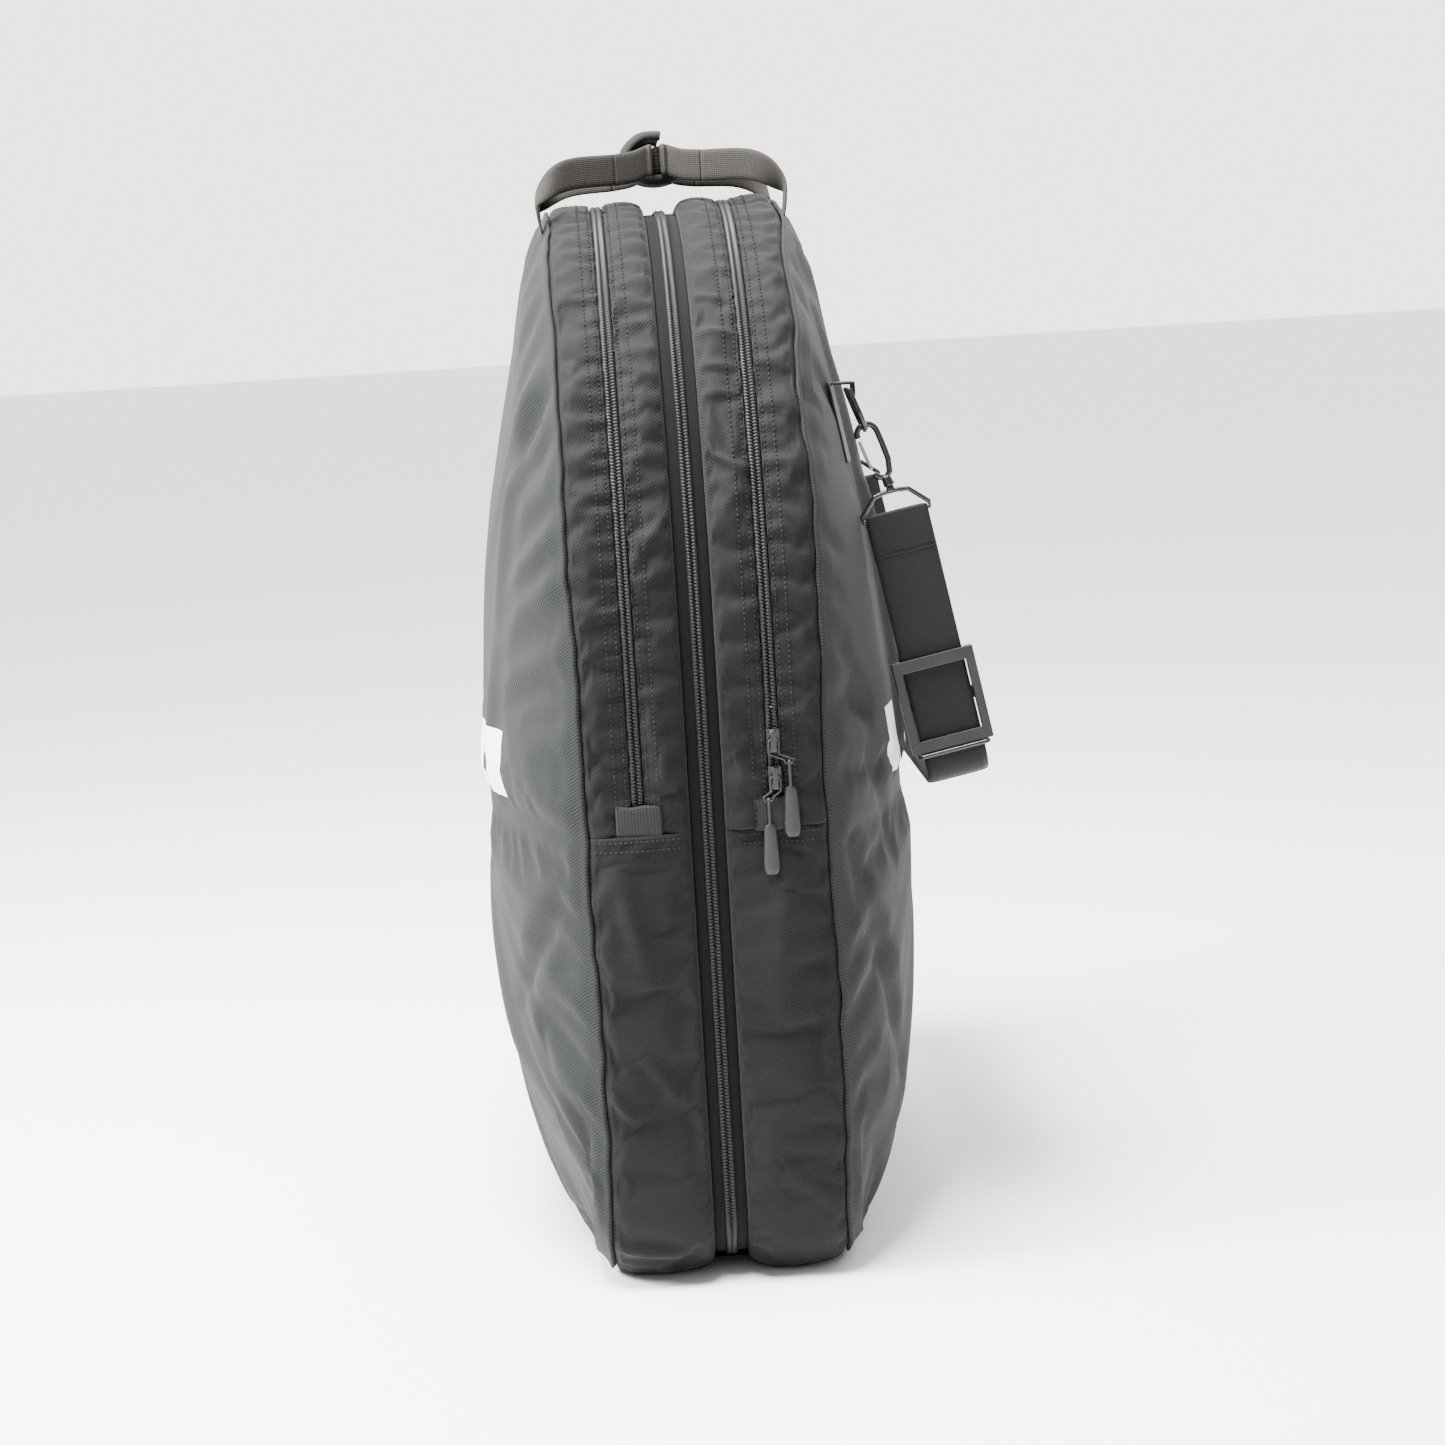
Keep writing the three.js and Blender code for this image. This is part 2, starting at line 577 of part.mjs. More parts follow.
for (const [sideName, side] of Object.entries(SIDES)) {
  const slotIn = side * (ZIP_X - SLOT_HALF);
  const slotOut = side * (ZIP_X + SLOT_HALF);
  add(bag, `${sideName}_face_upper`, facePanel(side, HINGE_Z + GAP, HEIGHT - 3), 'fabric');
  add(bag, `${sideName}_face_lower`, facePanel(side, HINGE_Z - GAP, 2), 'fabric');
  add(bag, `${sideName}_gusset_outer`, strip(upper, slotOut, side * GUSSET_HALF), 'fabric');
  add(bag, `${sideName}_gusset_inner`, strip(upper, side * STRIP_INNER, slotIn), 'fabric');
  add(bag, `${sideName}_divider`, dividerPanel(side), 'lining');
  add(bag, `${sideName}_zip_outer`,
    zipHalf(upper, side * (ZIP_X + COIL_HALF_GAP), side, 0, TAPE_TAIL), 'coil');
  add(bag, `${sideName}_zip_inner`,
    zipHalf(upper, side * (ZIP_X - COIL_HALF_GAP), -side, 0, TAPE_TAIL), 'coil');
  for (const [endName, towards] of Object.entries(ENDS)) {
    const run = lowerRun(towards, HINGE_Z - GAP);
    add(bag, `${sideName}_gusset_${endName}`,
      strip(run, side * STRIP_INNER, side * GUSSET_HALF), 'fabric');
    const tab = box(2 * SLOT_HALF + 23, 1.8, WEBBING, side * ZIP_X,
      towards * (HALF_DEPTH + 2), HINGE_Z + WEBBING / 2 - 2);
    add(bag, `${sideName}_zip_tab_${endName}`, tab, 'webbing');
    add(bag, `${sideName}_handle_leg_${endName}`, handleLeg(side, towards), 'webbing');
  }
}

const fullRun = [
  ...lowerRun(-1, HINGE_Z).reverse().slice(2), ...upper, ...lowerRun(1, HINGE_Z).slice(0, -2),
];
add(bag, 'centre_zip_left', zipHalf(fullRun, -COIL_HALF_GAP, -1, CENTRE_RECESS, 7), 'coil');
add(bag, 'centre_zip_right', zipHalf(fullRun, COIL_HALF_GAP, 1, CENTRE_RECESS, 7), 'coil');
add(bag, 'base_panel',
  box(2 * GUSSET_HALF, 2 * (HALF_DEPTH - BASE_CORNER) - 4, PANEL, 0, 0, PANEL / 2), 'fabric');
add(bag, 'grip_wrap', gripWrap(), 'fabric');
add(bag, 'left_handle_bar', handleBar(-1), 'webbing');
add(bag, 'right_handle_bar', handleBar(1), 'webbing');

// Sliders with their bails and pulls: `towards` is the side of the bag they are worked from.
function addSlider(name, x, depth, z, towards, shift) {
  const group = new THREE.Group();
  group.position.set(x, towards * (HALF_DEPTH - depth), z);
  if (towards > 0) group.rotation.z = Math.PI;
  add(group, `${name}_slider`, sliderBody(), 'metal');
  const hanging = new THREE.Group();
  hanging.position.set(0, -BAIL_DEPTH, 1);
  add(hanging, `${name}_bail`, bailWire(shift), 'metal');
  const pull = add(hanging, `${name}_pull`, cordPull(PULL_DROP), 'plastic');
  pull.position.set(shift, 0, BAIL_FOOT);
  group.add(hanging);
  bag.add(group);
}

addSlider('right_lower', ZIP_X, 0, HINGE_Z + LOWER_SLIDER, -1, LOWER_SHIFT);
addSlider('right_upper', ZIP_X, 0, HINGE_Z + UPPER_SLIDER, -1, UPPER_SHIFT);
addSlider('left_lower', -ZIP_X, 0, HINGE_Z + LOWER_SLIDER, 1, LOWER_SHIFT);
addSlider('left_upper', -ZIP_X, 0, HINGE_Z + UPPER_SLIDER, 1, UPPER_SHIFT);
addSlider('centre', 0, CENTRE_RECESS, HINGE_Z + UPPER_SLIDER, 1, 0);

const hooks = new THREE.Group();
hooks.position.set(RING_X, 0, RING_Z);
hooks.rotation.y = -HOOK_LEAN;
const swivels = new THREE.Group();
swivels.position.set(0, 0, HOOK_LOW - COLLAR_HALF);
swivels.rotation.y = HOOK_LEAN - STRAP_LEAN;
for (const [endName, towards] of Object.entries(ENDS)) {
  add(bag, `chape_${endName}`, chape(towards), 'webbing');
  add(hooks, `d_ring_${endName}`, ringWire(towards), 'metal');
  add(hooks, `hook_${endName}`, hookBody(towards), 'metal');
  add(hooks, `hook_gate_${endName}`, hookGate(towards), 'metal');
  add(swivels, `strap_loop_${endName}`, webbingLoop(towards), 'metal');
}
const strap = new THREE.Group();
strap.position.set(0, 0, -LOOP_LOW);
add(strap, 'strap_webbing', strapWebbing(), 'strap');
add(strap, 'strap_adjuster', adjusterFrame(), 'plastic');
add(strap, 'adjuster_loop', adjusterLoop(), 'metal');
swivels.add(strap);
hooks.add(swivels);
bag.add(hooks);

export default bag;
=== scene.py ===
"""Looks for a tall double-compartment skate bag: padded twill skins, coil zips, webbing and hardware."""

import math

import bmesh
import bpy
import numpy as np
from mathutils import Matrix, Vector
from mathutils.bvhtree import BVHTree


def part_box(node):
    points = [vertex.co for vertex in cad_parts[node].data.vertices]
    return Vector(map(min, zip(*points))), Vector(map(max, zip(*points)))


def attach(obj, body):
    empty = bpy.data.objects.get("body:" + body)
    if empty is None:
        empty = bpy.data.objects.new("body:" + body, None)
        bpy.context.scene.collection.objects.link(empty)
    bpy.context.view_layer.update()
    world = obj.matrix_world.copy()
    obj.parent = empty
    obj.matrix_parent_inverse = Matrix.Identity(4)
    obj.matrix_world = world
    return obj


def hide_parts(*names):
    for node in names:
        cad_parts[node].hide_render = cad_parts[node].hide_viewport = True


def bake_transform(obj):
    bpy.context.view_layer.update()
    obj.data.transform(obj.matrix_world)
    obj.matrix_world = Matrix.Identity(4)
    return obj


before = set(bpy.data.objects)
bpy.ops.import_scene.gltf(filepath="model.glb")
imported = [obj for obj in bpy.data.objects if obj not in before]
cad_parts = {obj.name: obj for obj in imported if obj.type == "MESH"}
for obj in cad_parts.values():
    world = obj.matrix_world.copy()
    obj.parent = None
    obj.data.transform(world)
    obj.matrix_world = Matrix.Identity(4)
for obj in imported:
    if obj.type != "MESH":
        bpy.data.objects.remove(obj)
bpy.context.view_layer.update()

# ---- Sizes, in metres ------------------------------------------------------------------------
HINGE_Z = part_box("right_face_upper")[0][2] - 0.0004
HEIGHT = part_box("right_gusset_inner")[1][2]
HALF_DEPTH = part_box("right_gusset_near")[0][1] * -1
SEAM_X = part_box("right_gusset_outer")[1][0]
ZIP_X = 0.5 * (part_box("right_gusset_outer")[0][0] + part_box("right_gusset_inner")[1][0])
SLOT_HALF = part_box("right_gusset_outer")[0][0] - ZIP_X
GROOVE_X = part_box("right_gusset_inner")[0][0]
FACE_RIM = 0.0044
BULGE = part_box("right_face_upper")[1][0] - SEAM_X - FACE_RIM
ARCH_START = 0.450
ARCH_POWER = 2.24
BASE_CORNER = 0.060
CENTRE_RECESS = 0.007
FACE_X = SEAM_X + FACE_RIM + BULGE
SKIN = 0.0022
COIL_PITCH = 0.0026
STITCH_PITCH = 0.0040
STITCH_OFFSETS = (0.0028, 0.0105)
HANDLE_WIDE, HANDLE_THICK, BAR_Z = 0.025, 0.0021, 0.866
STRAP_WIDE, STRAP_THICK = 0.050, 0.0018
WIRE_VOXEL, WIRE_SWELL = 0.00045, 0.0005
SIDES = {"left": -1, "right": 1}
ENDS = {"near": -1, "far": 1}


# ---- The outline of the bag, as seen along X -------------------------------------------------
def outline_depth(z):
    """Half the bag's depth along Y at height z."""
    z = np.asarray(z, float)
    drop = np.clip(BASE_CORNER - z, 0, BASE_CORNER)
    low = HALF_DEPTH - BASE_CORNER + np.sqrt(BASE_CORNER**2 - drop**2)
    rise = np.clip((z - ARCH_START) / (HEIGHT - ARCH_START), 0, 1)
    high = HALF_DEPTH * (1 - rise**ARCH_POWER) ** (1 / ARCH_POWER)
    return np.where(z < ARCH_START, low, high)


def outline_points():
    """The closed outline as y, z rows, from the middle of the base by the near side over the top."""
    flat = np.linspace(0, HALF_DEPTH - BASE_CORNER, 30)[:-1]
    turn = np.linspace(0, math.pi / 2, 24)
    corner_y = HALF_DEPTH - BASE_CORNER + BASE_CORNER * np.sin(turn)
    corner_z = BASE_CORNER * (1 - np.cos(turn))
    side = np.linspace(BASE_CORNER, ARCH_START, 60)[1:-1]
    sweep = np.linspace(0, math.pi / 2, 160)
    arch_y = HALF_DEPTH * np.cos(sweep) ** (2 / ARCH_POWER)
    arch_z = ARCH_START + (HEIGHT - ARCH_START) * np.sin(sweep) ** (2 / ARCH_POWER)
    y = -np.concatenate([flat, corner_y, np.full(side.size, HALF_DEPTH), arch_y])
    z = np.concatenate([flat * 0, corner_z, side, arch_z])
    return np.concatenate([y, -y[-2::-1]]), np.concatenate([z, z[-2::-1]])


class Outline:
    """The outline by its length s, with outward normals."""

    def __init__(self):
        self.y, self.z = outline_points()
        steps = np.hypot(np.diff(self.y), np.diff(self.z))
        self.s = np.concatenate([[0], np.cumsum(steps)])
        ty, tz = np.gradient(self.y, self.s), np.gradient(self.z, self.s)
        size = np.hypot(ty, tz)
        self.ny, self.nz = -tz / size, ty / size
        self.length = self.s[-1]
        near = self.s < self.length / 2
        self.hinge = float(np.interp(HINGE_Z, self.z[near], self.s[near]))
        self.corner = HALF_DEPTH - BASE_CORNER

    def at(self, s):
        """y, z and the outward normal's y, z at lengths s."""
        return [np.interp(s, self.s, values) for values in (self.y, self.z, self.ny, self.nz)]

    def raised(self, s, x, lift):
        """A grid of points with a row for each length in s, at x and `lift` outside the outline."""
        y, z, ny, nz = (values[:, None] for values in self.at(s))
        return np.stack(np.broadcast_arrays(x, y + ny * lift, z + nz * lift), -1)


OUTLINE = Outline()


# ---- Shared helpers --------------------------------------------------------------------------
def waves(u, v, seed, size, stretch=1.0):
    """Smooth seeded noise of about unit height, with features about `size` across."""
    rng = np.random.default_rng(seed)
    count = 7
    total = np.zeros(np.broadcast(u, v).shape)
    for _ in range(count):
        angle, phase = rng.uniform(0, 2 * math.pi, 2)
        turns = 2 * math.pi / (size * rng.uniform(0.7, 1.6))
        total += np.sin(turns * (u * math.cos(angle) + v * math.sin(angle) * stretch) + phase)
    return total / math.sqrt(count)


def crease(u, v, start, end, width, depth):
    """A fold along the segment from start to end: depth times a bell across it, fading at its ends."""
    (u0, v0), (u1, v1) = start, end
    length = math.hypot(u1 - u0, v1 - v0)
    along = ((u - u0) * (u1 - u0) + (v - v0) * (v1 - v0)) / length**2
    across = ((v - v0) * (u1 - u0) - (u - u0) * (v1 - v0)) / length
    fade = np.clip(np.sin(np.clip(along, 0, 1) * math.pi), 0, 1) ** 0.6
    return depth * np.exp(-((across / width) ** 2)) * fade


def smooth_list(points, steps):
    """Points along a Catmull-Rom curve through a short list of points of any size."""
    points = np.asarray(points, float)
    padded = np.vstack([2 * points[0] - points[1], points, 2 * points[-1] - points[-2]])
    t = np.linspace(0, len(points) - 1, steps)
    i = np.minimum(t.astype(int), len(points) - 2)
    f = (t - i)[:, None]
    a, b, c, d = padded[i], padded[i + 1], padded[i + 2], padded[i + 3]
    return 0.5 * (2 * b + (c - a) * f + (2 * a - 5 * b + 4 * c - d) * f**2
                  + (3 * b - a - 3 * c + d) * f**3)


def add_object(name, data):
    made = bpy.data.objects.new(name, data)
    bpy.context.scene.collection.objects.link(made)
    return made


def unit(rows):
    """Vectors scaled to length 1."""
    return rows / np.maximum(np.linalg.norm(rows, axis=-1, keepdims=True), 1e-12)


def mesh_object(name, points, faces, uvs=None):
    """A smooth-shaded object from points, faces and one uv per point."""
    mesh = bpy.data.meshes.new(name)
    mesh.from_pydata(points.tolist(), [], faces.tolist() if hasattr(faces, "tolist") else faces)
    mesh.update()
    if uvs is not None:
        layer = mesh.uv_layers.new(name="Cloth")
        corners = np.empty(len(mesh.loops), int)
        mesh.loops.foreach_get("vertex_index", corners)
        layer.data.foreach_set("uv", np.asarray(uvs)[corners].ravel())
    work = bmesh.new()
    work.from_mesh(mesh)
    bmesh.ops.recalc_face_normals(work, faces=work.faces)
    work.to_mesh(mesh)
    work.free()
    mesh.polygons.foreach_set("use_smooth", [True] * len(mesh.polygons))
    return add_object(name, mesh)


def grid_faces(rows, columns, offset=0, loop=False):
    """Quads over a grid of points, row by row. A loop joins the last row to the first."""
    r = np.arange(rows if loop else rows - 1)[:, None]
    c = np.arange(columns - 1)[None, :]
    nxt = (r + 1) % rows
    quads = np.stack([r * columns + c, r * columns + c + 1, nxt * columns + c + 1,
                      nxt * columns + c], -1)
    return quads.reshape(-1, 4) + offset


def shell(name, outer, inner, uv, loop=False):
    """A closed skin between two grids of points. With loop, the rows close on themselves."""
    rows, columns = outer.shape[:2]
    count = rows * columns
    faces = [grid_faces(rows, columns, 0, loop), grid_faces(rows, columns, count, loop)[:, ::-1]]
    r = np.arange(rows if loop else rows - 1)
    nxt = (r + 1) % rows
    for column in (0, columns - 1):
        a, b = r * columns + column, nxt * columns + column
        faces.append(np.stack([a, b, b + count, a + count], -1))
    if not loop:
        for row in (0, rows - 1):
            a = row * columns + np.arange(columns - 1)
            faces.append(np.stack([a + 1, a, a + count, a + 1 + count], -1))
    points = np.concatenate([outer.reshape(-1, 3), inner.reshape(-1, 3)])
    uvs = np.concatenate([uv.reshape(-1, 2)] * 2)
    return mesh_object(name, points, np.concatenate(faces), uvs)


def ribbon(name, points, across, width, thickness, bow=0.0):
    """Webbing along points, with rounded edges. `across` is the direction of its width."""
    points, across = np.asarray(points, float), unit(np.asarray(across, float))
    normal = unit(np.cross(np.gradient(points, axis=0), across))
    turn = np.linspace(-1, 1, 9)
    half = np.sign(turn) * (1 - (1 - np.abs(turn)) ** 1.35)
    depth = (1 - np.abs(turn) ** 8) * thickness / 2 + 0.0001
    crown = bow * (1 - turn**2)
    span = points[:, None] + across[:, None] * (half * width / 2)[None, :, None]

    def surface(side):
        return span + normal[:, None] * (crown + side * depth)[None, :, None]

    uv = np.stack(np.broadcast_arrays(path_lengths(points)[:, None], (half * width / 2)[None, :]), -1)
    return shell(name, surface(1), surface(-1), uv)


def path_lengths(points):
    """How far along its path each point lies."""
    return np.concatenate([[0], np.cumsum(np.linalg.norm(np.diff(points, axis=0), axis=1))])


def give(piece, material):
    piece.data.materials.clear()
    piece.data.materials.append(material)


def finish_piece(piece, look, slot, body, *nodes):
    """The look from MATERIALS, the body and the CAD nodes that a piece stands for. The slot is not used."""
    give(piece, MATERIALS[look])
    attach(piece, body)
    if nodes:
        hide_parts(*nodes)


# ---- Materials -------------------------------------------------------------------------------
class Nodes:
    """Short calls for building one material's node tree."""

    def __init__(self, name):
        self.material = bpy.data.materials.new(name)
        self.material.use_nodes = True
        self.tree = self.material.node_tree
        self.shader = self.tree.nodes["Principled BSDF"]

    def node(self, kind, **values):
        made = self.tree.nodes.new(kind)
        for key, value in values.items():
            if hasattr(made, key):
                setattr(made, key, value)
            else:
                made.inputs[key.replace("_", " ")].default_value = value
        return made

    def link(self, source, target):
        self.tree.links.new(source, target)

    def math(self, operation, *values, clamp=False):
        made = self.node("ShaderNodeMath", operation=operation, use_clamp=clamp)
        for socket, value in zip(made.inputs, values):
            if isinstance(value, (int, float)):
                socket.default_value = value
            else:
                self.link(value, socket)
        return made.outputs[0]

    def mix(self, factor, first, second):
        made = self.node("ShaderNodeMix", data_type="RGBA")
        for socket, value in ((made.inputs[0], factor), (made.inputs[6], first), (made.inputs[7], second)):
            if isinstance(value, (int, float)):
                socket.default_value = value
            elif isinstance(value, tuple):
                socket.default_value = (*value, 1)
            else:
                self.link(value, socket)
        return made.outputs[2]

    def set_shader(self, **values):
        for socket, value in values.items():
            self.shader.inputs[socket.replace("_", " ")].default_value = value

    def bump(self, height, distance, strength):
        made = self.node("ShaderNodeBump", Distance=distance, Strength=strength)
        self.link(height, made.inputs["Height"])
        self.link(made.outputs[0], self.shader.inputs["Normal"])


def twill(name, colour, tint, prints=False, sheen=0.04):
    """Coated twill: diagonal ribs of yarn, uneven dye, and optional plain white bars."""
    n = Nodes(name)
    cloth = n.node("ShaderNodeUVMap", uv_map="Cloth").outputs[0]
    ribs = n.node("ShaderNodeTexWave", bands_direction="DIAGONAL", Scale=235.0, Distortion=0.6,
                  Detail=1.0)
    ribs.inputs["Detail Scale"].default_value = 1.5
    n.link(cloth, ribs.inputs["Vector"])
    turned = n.node("ShaderNodeMapping")
    turned.inputs["Rotation"].default_value = (0, 0, math.radians(78))
    n.link(cloth, turned.inputs["Vector"])
    yarn = n.node("ShaderNodeTexWave", bands_direction="DIAGONAL", Scale=520.0, Distortion=1.0)
    n.link(turned.outputs[0], yarn.inputs["Vector"])
    dye = n.node("ShaderNodeTexNoise", Scale=9.0, Detail=5.0)
    n.link(cloth, dye.inputs["Vector"])
    weave = n.math("ADD", n.math("MULTIPLY", ribs.outputs["Fac"], 0.75),
                   n.math("MULTIPLY", yarn.outputs["Fac"], 0.25))
    base = n.mix(dye.outputs["Fac"], tuple(c * 0.82 for c in colour), tint)
    shaded = n.mix(weave, tuple(c * 0.30 for c in colour), base)
    if prints:
        shaded = n.mix(slanted_bars(n, cloth), shaded, (0.82, 0.83, 0.84))
    n.link(shaded, n.shader.inputs["Base Color"])
    n.link(n.math("MULTIPLY_ADD", dye.outputs["Fac"], 0.12, 0.68), n.shader.inputs["Roughness"])
    n.set_shader(Sheen_Weight=sheen, Sheen_Roughness=0.45, Specular_IOR_Level=0.12)
    n.bump(weave, 0.0005, 0.55)
    return n.material


def slanted_bars(n, cloth):
    """A mask of three plain slanted bars on the broad face, from its y and z."""
    split = n.node("ShaderNodeSeparateXYZ")
    n.link(cloth, split.inputs[0])
    y, z = split.outputs[0], split.outputs[1]
    pitch, bar_wide, slant = 0.062, 0.040, 0.28
    first_y, last_y, low_z, high_z = -0.071, 0.100, 0.372, 0.428
    lean = n.math("ADD", y, n.math("MULTIPLY", z, slant))
    stripe = n.math("LESS_THAN", n.math("MODULO", n.math("ADD", lean, 1.0), pitch), bar_wide)
    first = n.math("GREATER_THAN", lean, first_y)
    last = n.math("LESS_THAN", lean, last_y)
    low = n.math("GREATER_THAN", z, low_z)
    high = n.math("LESS_THAN", z, high_z)
    band = n.math("MULTIPLY", n.math("MULTIPLY", first, last), n.math("MULTIPLY", low, high))
    return n.math("MULTIPLY", stripe, band)


def webbing(name, colour, rib=0.0021, roughness=0.7):
    """Woven tape: ribs across it, with a fine grid of yarn along it."""
    n = Nodes(name)
    cloth = n.node("ShaderNodeUVMap", uv_map="Cloth").outputs[0]
    across = n.node("ShaderNodeTexWave", bands_direction="X", Scale=0.314 / rib, Distortion=0.3)
    along = n.node("ShaderNodeTexWave", bands_direction="Y", Scale=0.314 / (rib * 0.8), Distortion=0.3)
    n.link(cloth, across.inputs["Vector"])
    n.link(cloth, along.inputs["Vector"])
    dye = n.node("ShaderNodeTexNoise", Scale=40.0, Detail=4.0)
    n.link(cloth, dye.inputs["Vector"])
    ribs = n.math("MULTIPLY_ADD", across.outputs["Fac"], 0.7, 0.3)
    grid = n.math("MULTIPLY", ribs, n.math("MULTIPLY_ADD", along.outputs["Fac"], 0.5, 0.5))
    base = n.mix(dye.outputs["Fac"], tuple(c * 0.85 for c in colour), tuple(c * 1.2 for c in colour))
    n.link(n.mix(grid, tuple(c * 0.4 for c in colour), base), n.shader.inputs["Base Color"])
    n.set_shader(Roughness=roughness, Sheen_Weight=0.03, Specular_IOR_Level=0.12)
    n.bump(grid, 0.0006, 0.7)
    return n.material


def moulded(name, colour, roughness, metallic=0.0, depth=0.00008, gloss=0.3):
    """Moulded plastic or coated metal, with a fine grain and a painted highlight: paler colour on convex
    edges and high spots.
    """
    n = Nodes(name)
    place = n.node("ShaderNodeTexCoord").outputs["Object"]
    fine = n.node("ShaderNodeTexNoise", Scale=900.0, Detail=3.0)
    broad = n.node("ShaderNodeTexNoise", Scale=60.0, Detail=4.0)
    n.link(place, fine.inputs["Vector"])
    n.link(place, broad.inputs["Vector"])
    edge = n.node("ShaderNodeNewGeometry").outputs["Pointiness"]
    # Painted highlight: convex edges get a paler colour, as if they caught the light.
    edge_highlight = n.math("MULTIPLY", n.math("SUBTRACT", edge, 0.53), 6.0, clamp=True)
    base = n.mix(broad.outputs["Fac"], tuple(c * 0.8 for c in colour), tuple(c * 1.25 for c in colour))
    n.link(n.mix(edge_highlight, base, tuple(min(c * 2.4 + 0.02, 1) for c in colour)),
           n.shader.inputs["Base Color"])
    rough = n.math("MULTIPLY_ADD", broad.outputs["Fac"], 0.16, roughness - 0.08)
    n.link(rough, n.shader.inputs["Roughness"])
    n.set_shader(Metallic=metallic, Specular_IOR_Level=gloss)
    n.bump(fine.outputs["Fac"], depth, 0.6)
    return n.material


GREY = (0.0066, 0.0072, 0.0076)
MATERIALS = {
    "gusset": twill("gusset_twill", GREY, (0.0096, 0.0105, 0.0110)),
    "face": twill("face_twill", (0.0150, 0.0166, 0.0173), (0.0205, 0.0225, 0.0234), prints=True),
    "grip": twill("grip_twill", (0.0115, 0.0115, 0.0115), (0.0150, 0.0150, 0.0150)),
    "lining": twill("lining_twill", (0.010, 0.0105, 0.011), (0.014, 0.0145, 0.015), sheen=0.02),
    "tape": webbing("zip_tape", (0.004, 0.0041, 0.0043), rib=0.0008, roughness=0.85),
    "handle": webbing("handle_webbing", (0.030, 0.0265, 0.023), rib=0.0019),
    "tab": webbing("tab_webbing", (0.019, 0.019, 0.0188), rib=0.0024),
    "strap": webbing("strap_webbing_cloth", (0.0085, 0.0083, 0.0081), rib=0.0011, roughness=0.5),
    "coil": moulded("coil_nylon", (0.005, 0.0052, 0.0054), 0.42, gloss=0.20),
    "thread": moulded("thread", (0.0015, 0.0015, 0.0016), 0.9, gloss=0.02),
    "metal": moulded("black_metal", (0.009, 0.009, 0.0095), 0.25, depth=0.00003, gloss=0.4),
    "bright": moulded("bare_metal", (0.36, 0.36, 0.37), 0.3, metallic=1.0, depth=0.00002),
    "plastic": moulded("grey_plastic", (0.016, 0.0168, 0.0175), 0.42, gloss=0.22),
}


# ---- Cloth simulation ------------------------------------------------------------------------
def drape(points, pinned, outward, grow, pressure, cap, frames, loop=False, bending=0.4):
    """Lets a grid of cloth swell and buckle between its pinned points, moving at most `cap`."""
    rows, columns = points.shape[:2]
    sheet = mesh_object("drape_sheet", points.reshape(-1, 3), grid_faces(rows, columns, 0, loop))
    facing = sum((Vector(outward).dot(face.normal) for face in sheet.data.polygons), 0.0)
    sheet.vertex_groups.new(name="pin").add(np.flatnonzero(pinned.ravel()).tolist(), 1.0, "REPLACE")
    cloth = sheet.modifiers.new("cloth", "CLOTH")
    settings = cloth.settings
    settings.quality, settings.mass = 5, 0.12
    settings.tension_stiffness = settings.compression_stiffness = 25
    settings.shear_stiffness, settings.bending_stiffness = 8, bending
    settings.vertex_group_mass = "pin"
    settings.shrink_min = -grow
    settings.use_pressure = True
    settings.uniform_pressure_force = math.copysign(pressure, facing)
    settings.effector_weights.gravity = 0
    cloth.collision_settings.use_collision = False
    cloth.point_cache.frame_end = frames
    scene = bpy.context.scene
    for step in range(1, frames + 1):
        scene.frame_set(step)
    settled = sheet.evaluated_get(bpy.context.evaluated_depsgraph_get()).to_mesh()
    moved = np.empty(rows * columns * 3)
    settled.vertices.foreach_get("co", moved)
    bpy.data.objects.remove(sheet)
    scene.frame_set(1)
    shift = moved.reshape(points.shape) - points
    far = np.linalg.norm(shift, axis=-1, keepdims=True)
    return points + shift * np.minimum(1, cap / np.maximum(far, 1e-9))


def inset(outer, outward, thickness, loop=False):
    """The inner surface of a skin: every point moved in by `thickness` along the skin's normal."""
    along = np.roll(outer, -1, 0) - np.roll(outer, 1, 0) if loop else np.gradient(outer, axis=0)
    normal = unit(np.cross(along, np.gradient(outer, axis=1)))
    facing = math.copysign(1, np.sum(normal * outward))
    return outer - normal * facing * thickness


# ---- Broad faces -----------------------------------------------------------------------------
def face_bulge(y, z):
    """How far the broad face swells past its seam."""
    across = np.clip(1 - np.abs(y / np.maximum(outline_depth(z), 0.001)) ** 2.6, 0, 1) ** 0.85
    above = np.clip(1 - (np.clip(z - HINGE_Z, 0, 1) / (HEIGHT - HINGE_Z)) ** 1.6, 0, 1)
    below = np.clip(1 - (np.clip(HINGE_Z - z, 0, 1) / HINGE_Z) ** 2.4, 0, 1) ** 0.5
    return BULGE * across * above * below


def seam_wobble(s, side):
    """The face seam isn't straight: it wanders a little and puckers at the stitching."""
    return 0.0016 * waves(s, 0 * s, 40 + side, 0.16) + 0.0007 * waves(s, 0 * s, 50 + side, 0.035)


def strap_limit(y, z):
    """The furthest the right face may swell: it leaves room for the strap's legs and the adjuster."""
    legs_y, adjuster_z, fade = 0.11, 0.33, 0.03
    tight, free = 0.0004, 0.02
    beside = np.clip((np.abs(y) - legs_y) / fade, 0, 1) * np.clip((z - adjuster_z) / fade, 0, 1)
    return SEAM_X + FACE_RIM + face_bulge(y, z) + tight + free * (1 - beside)


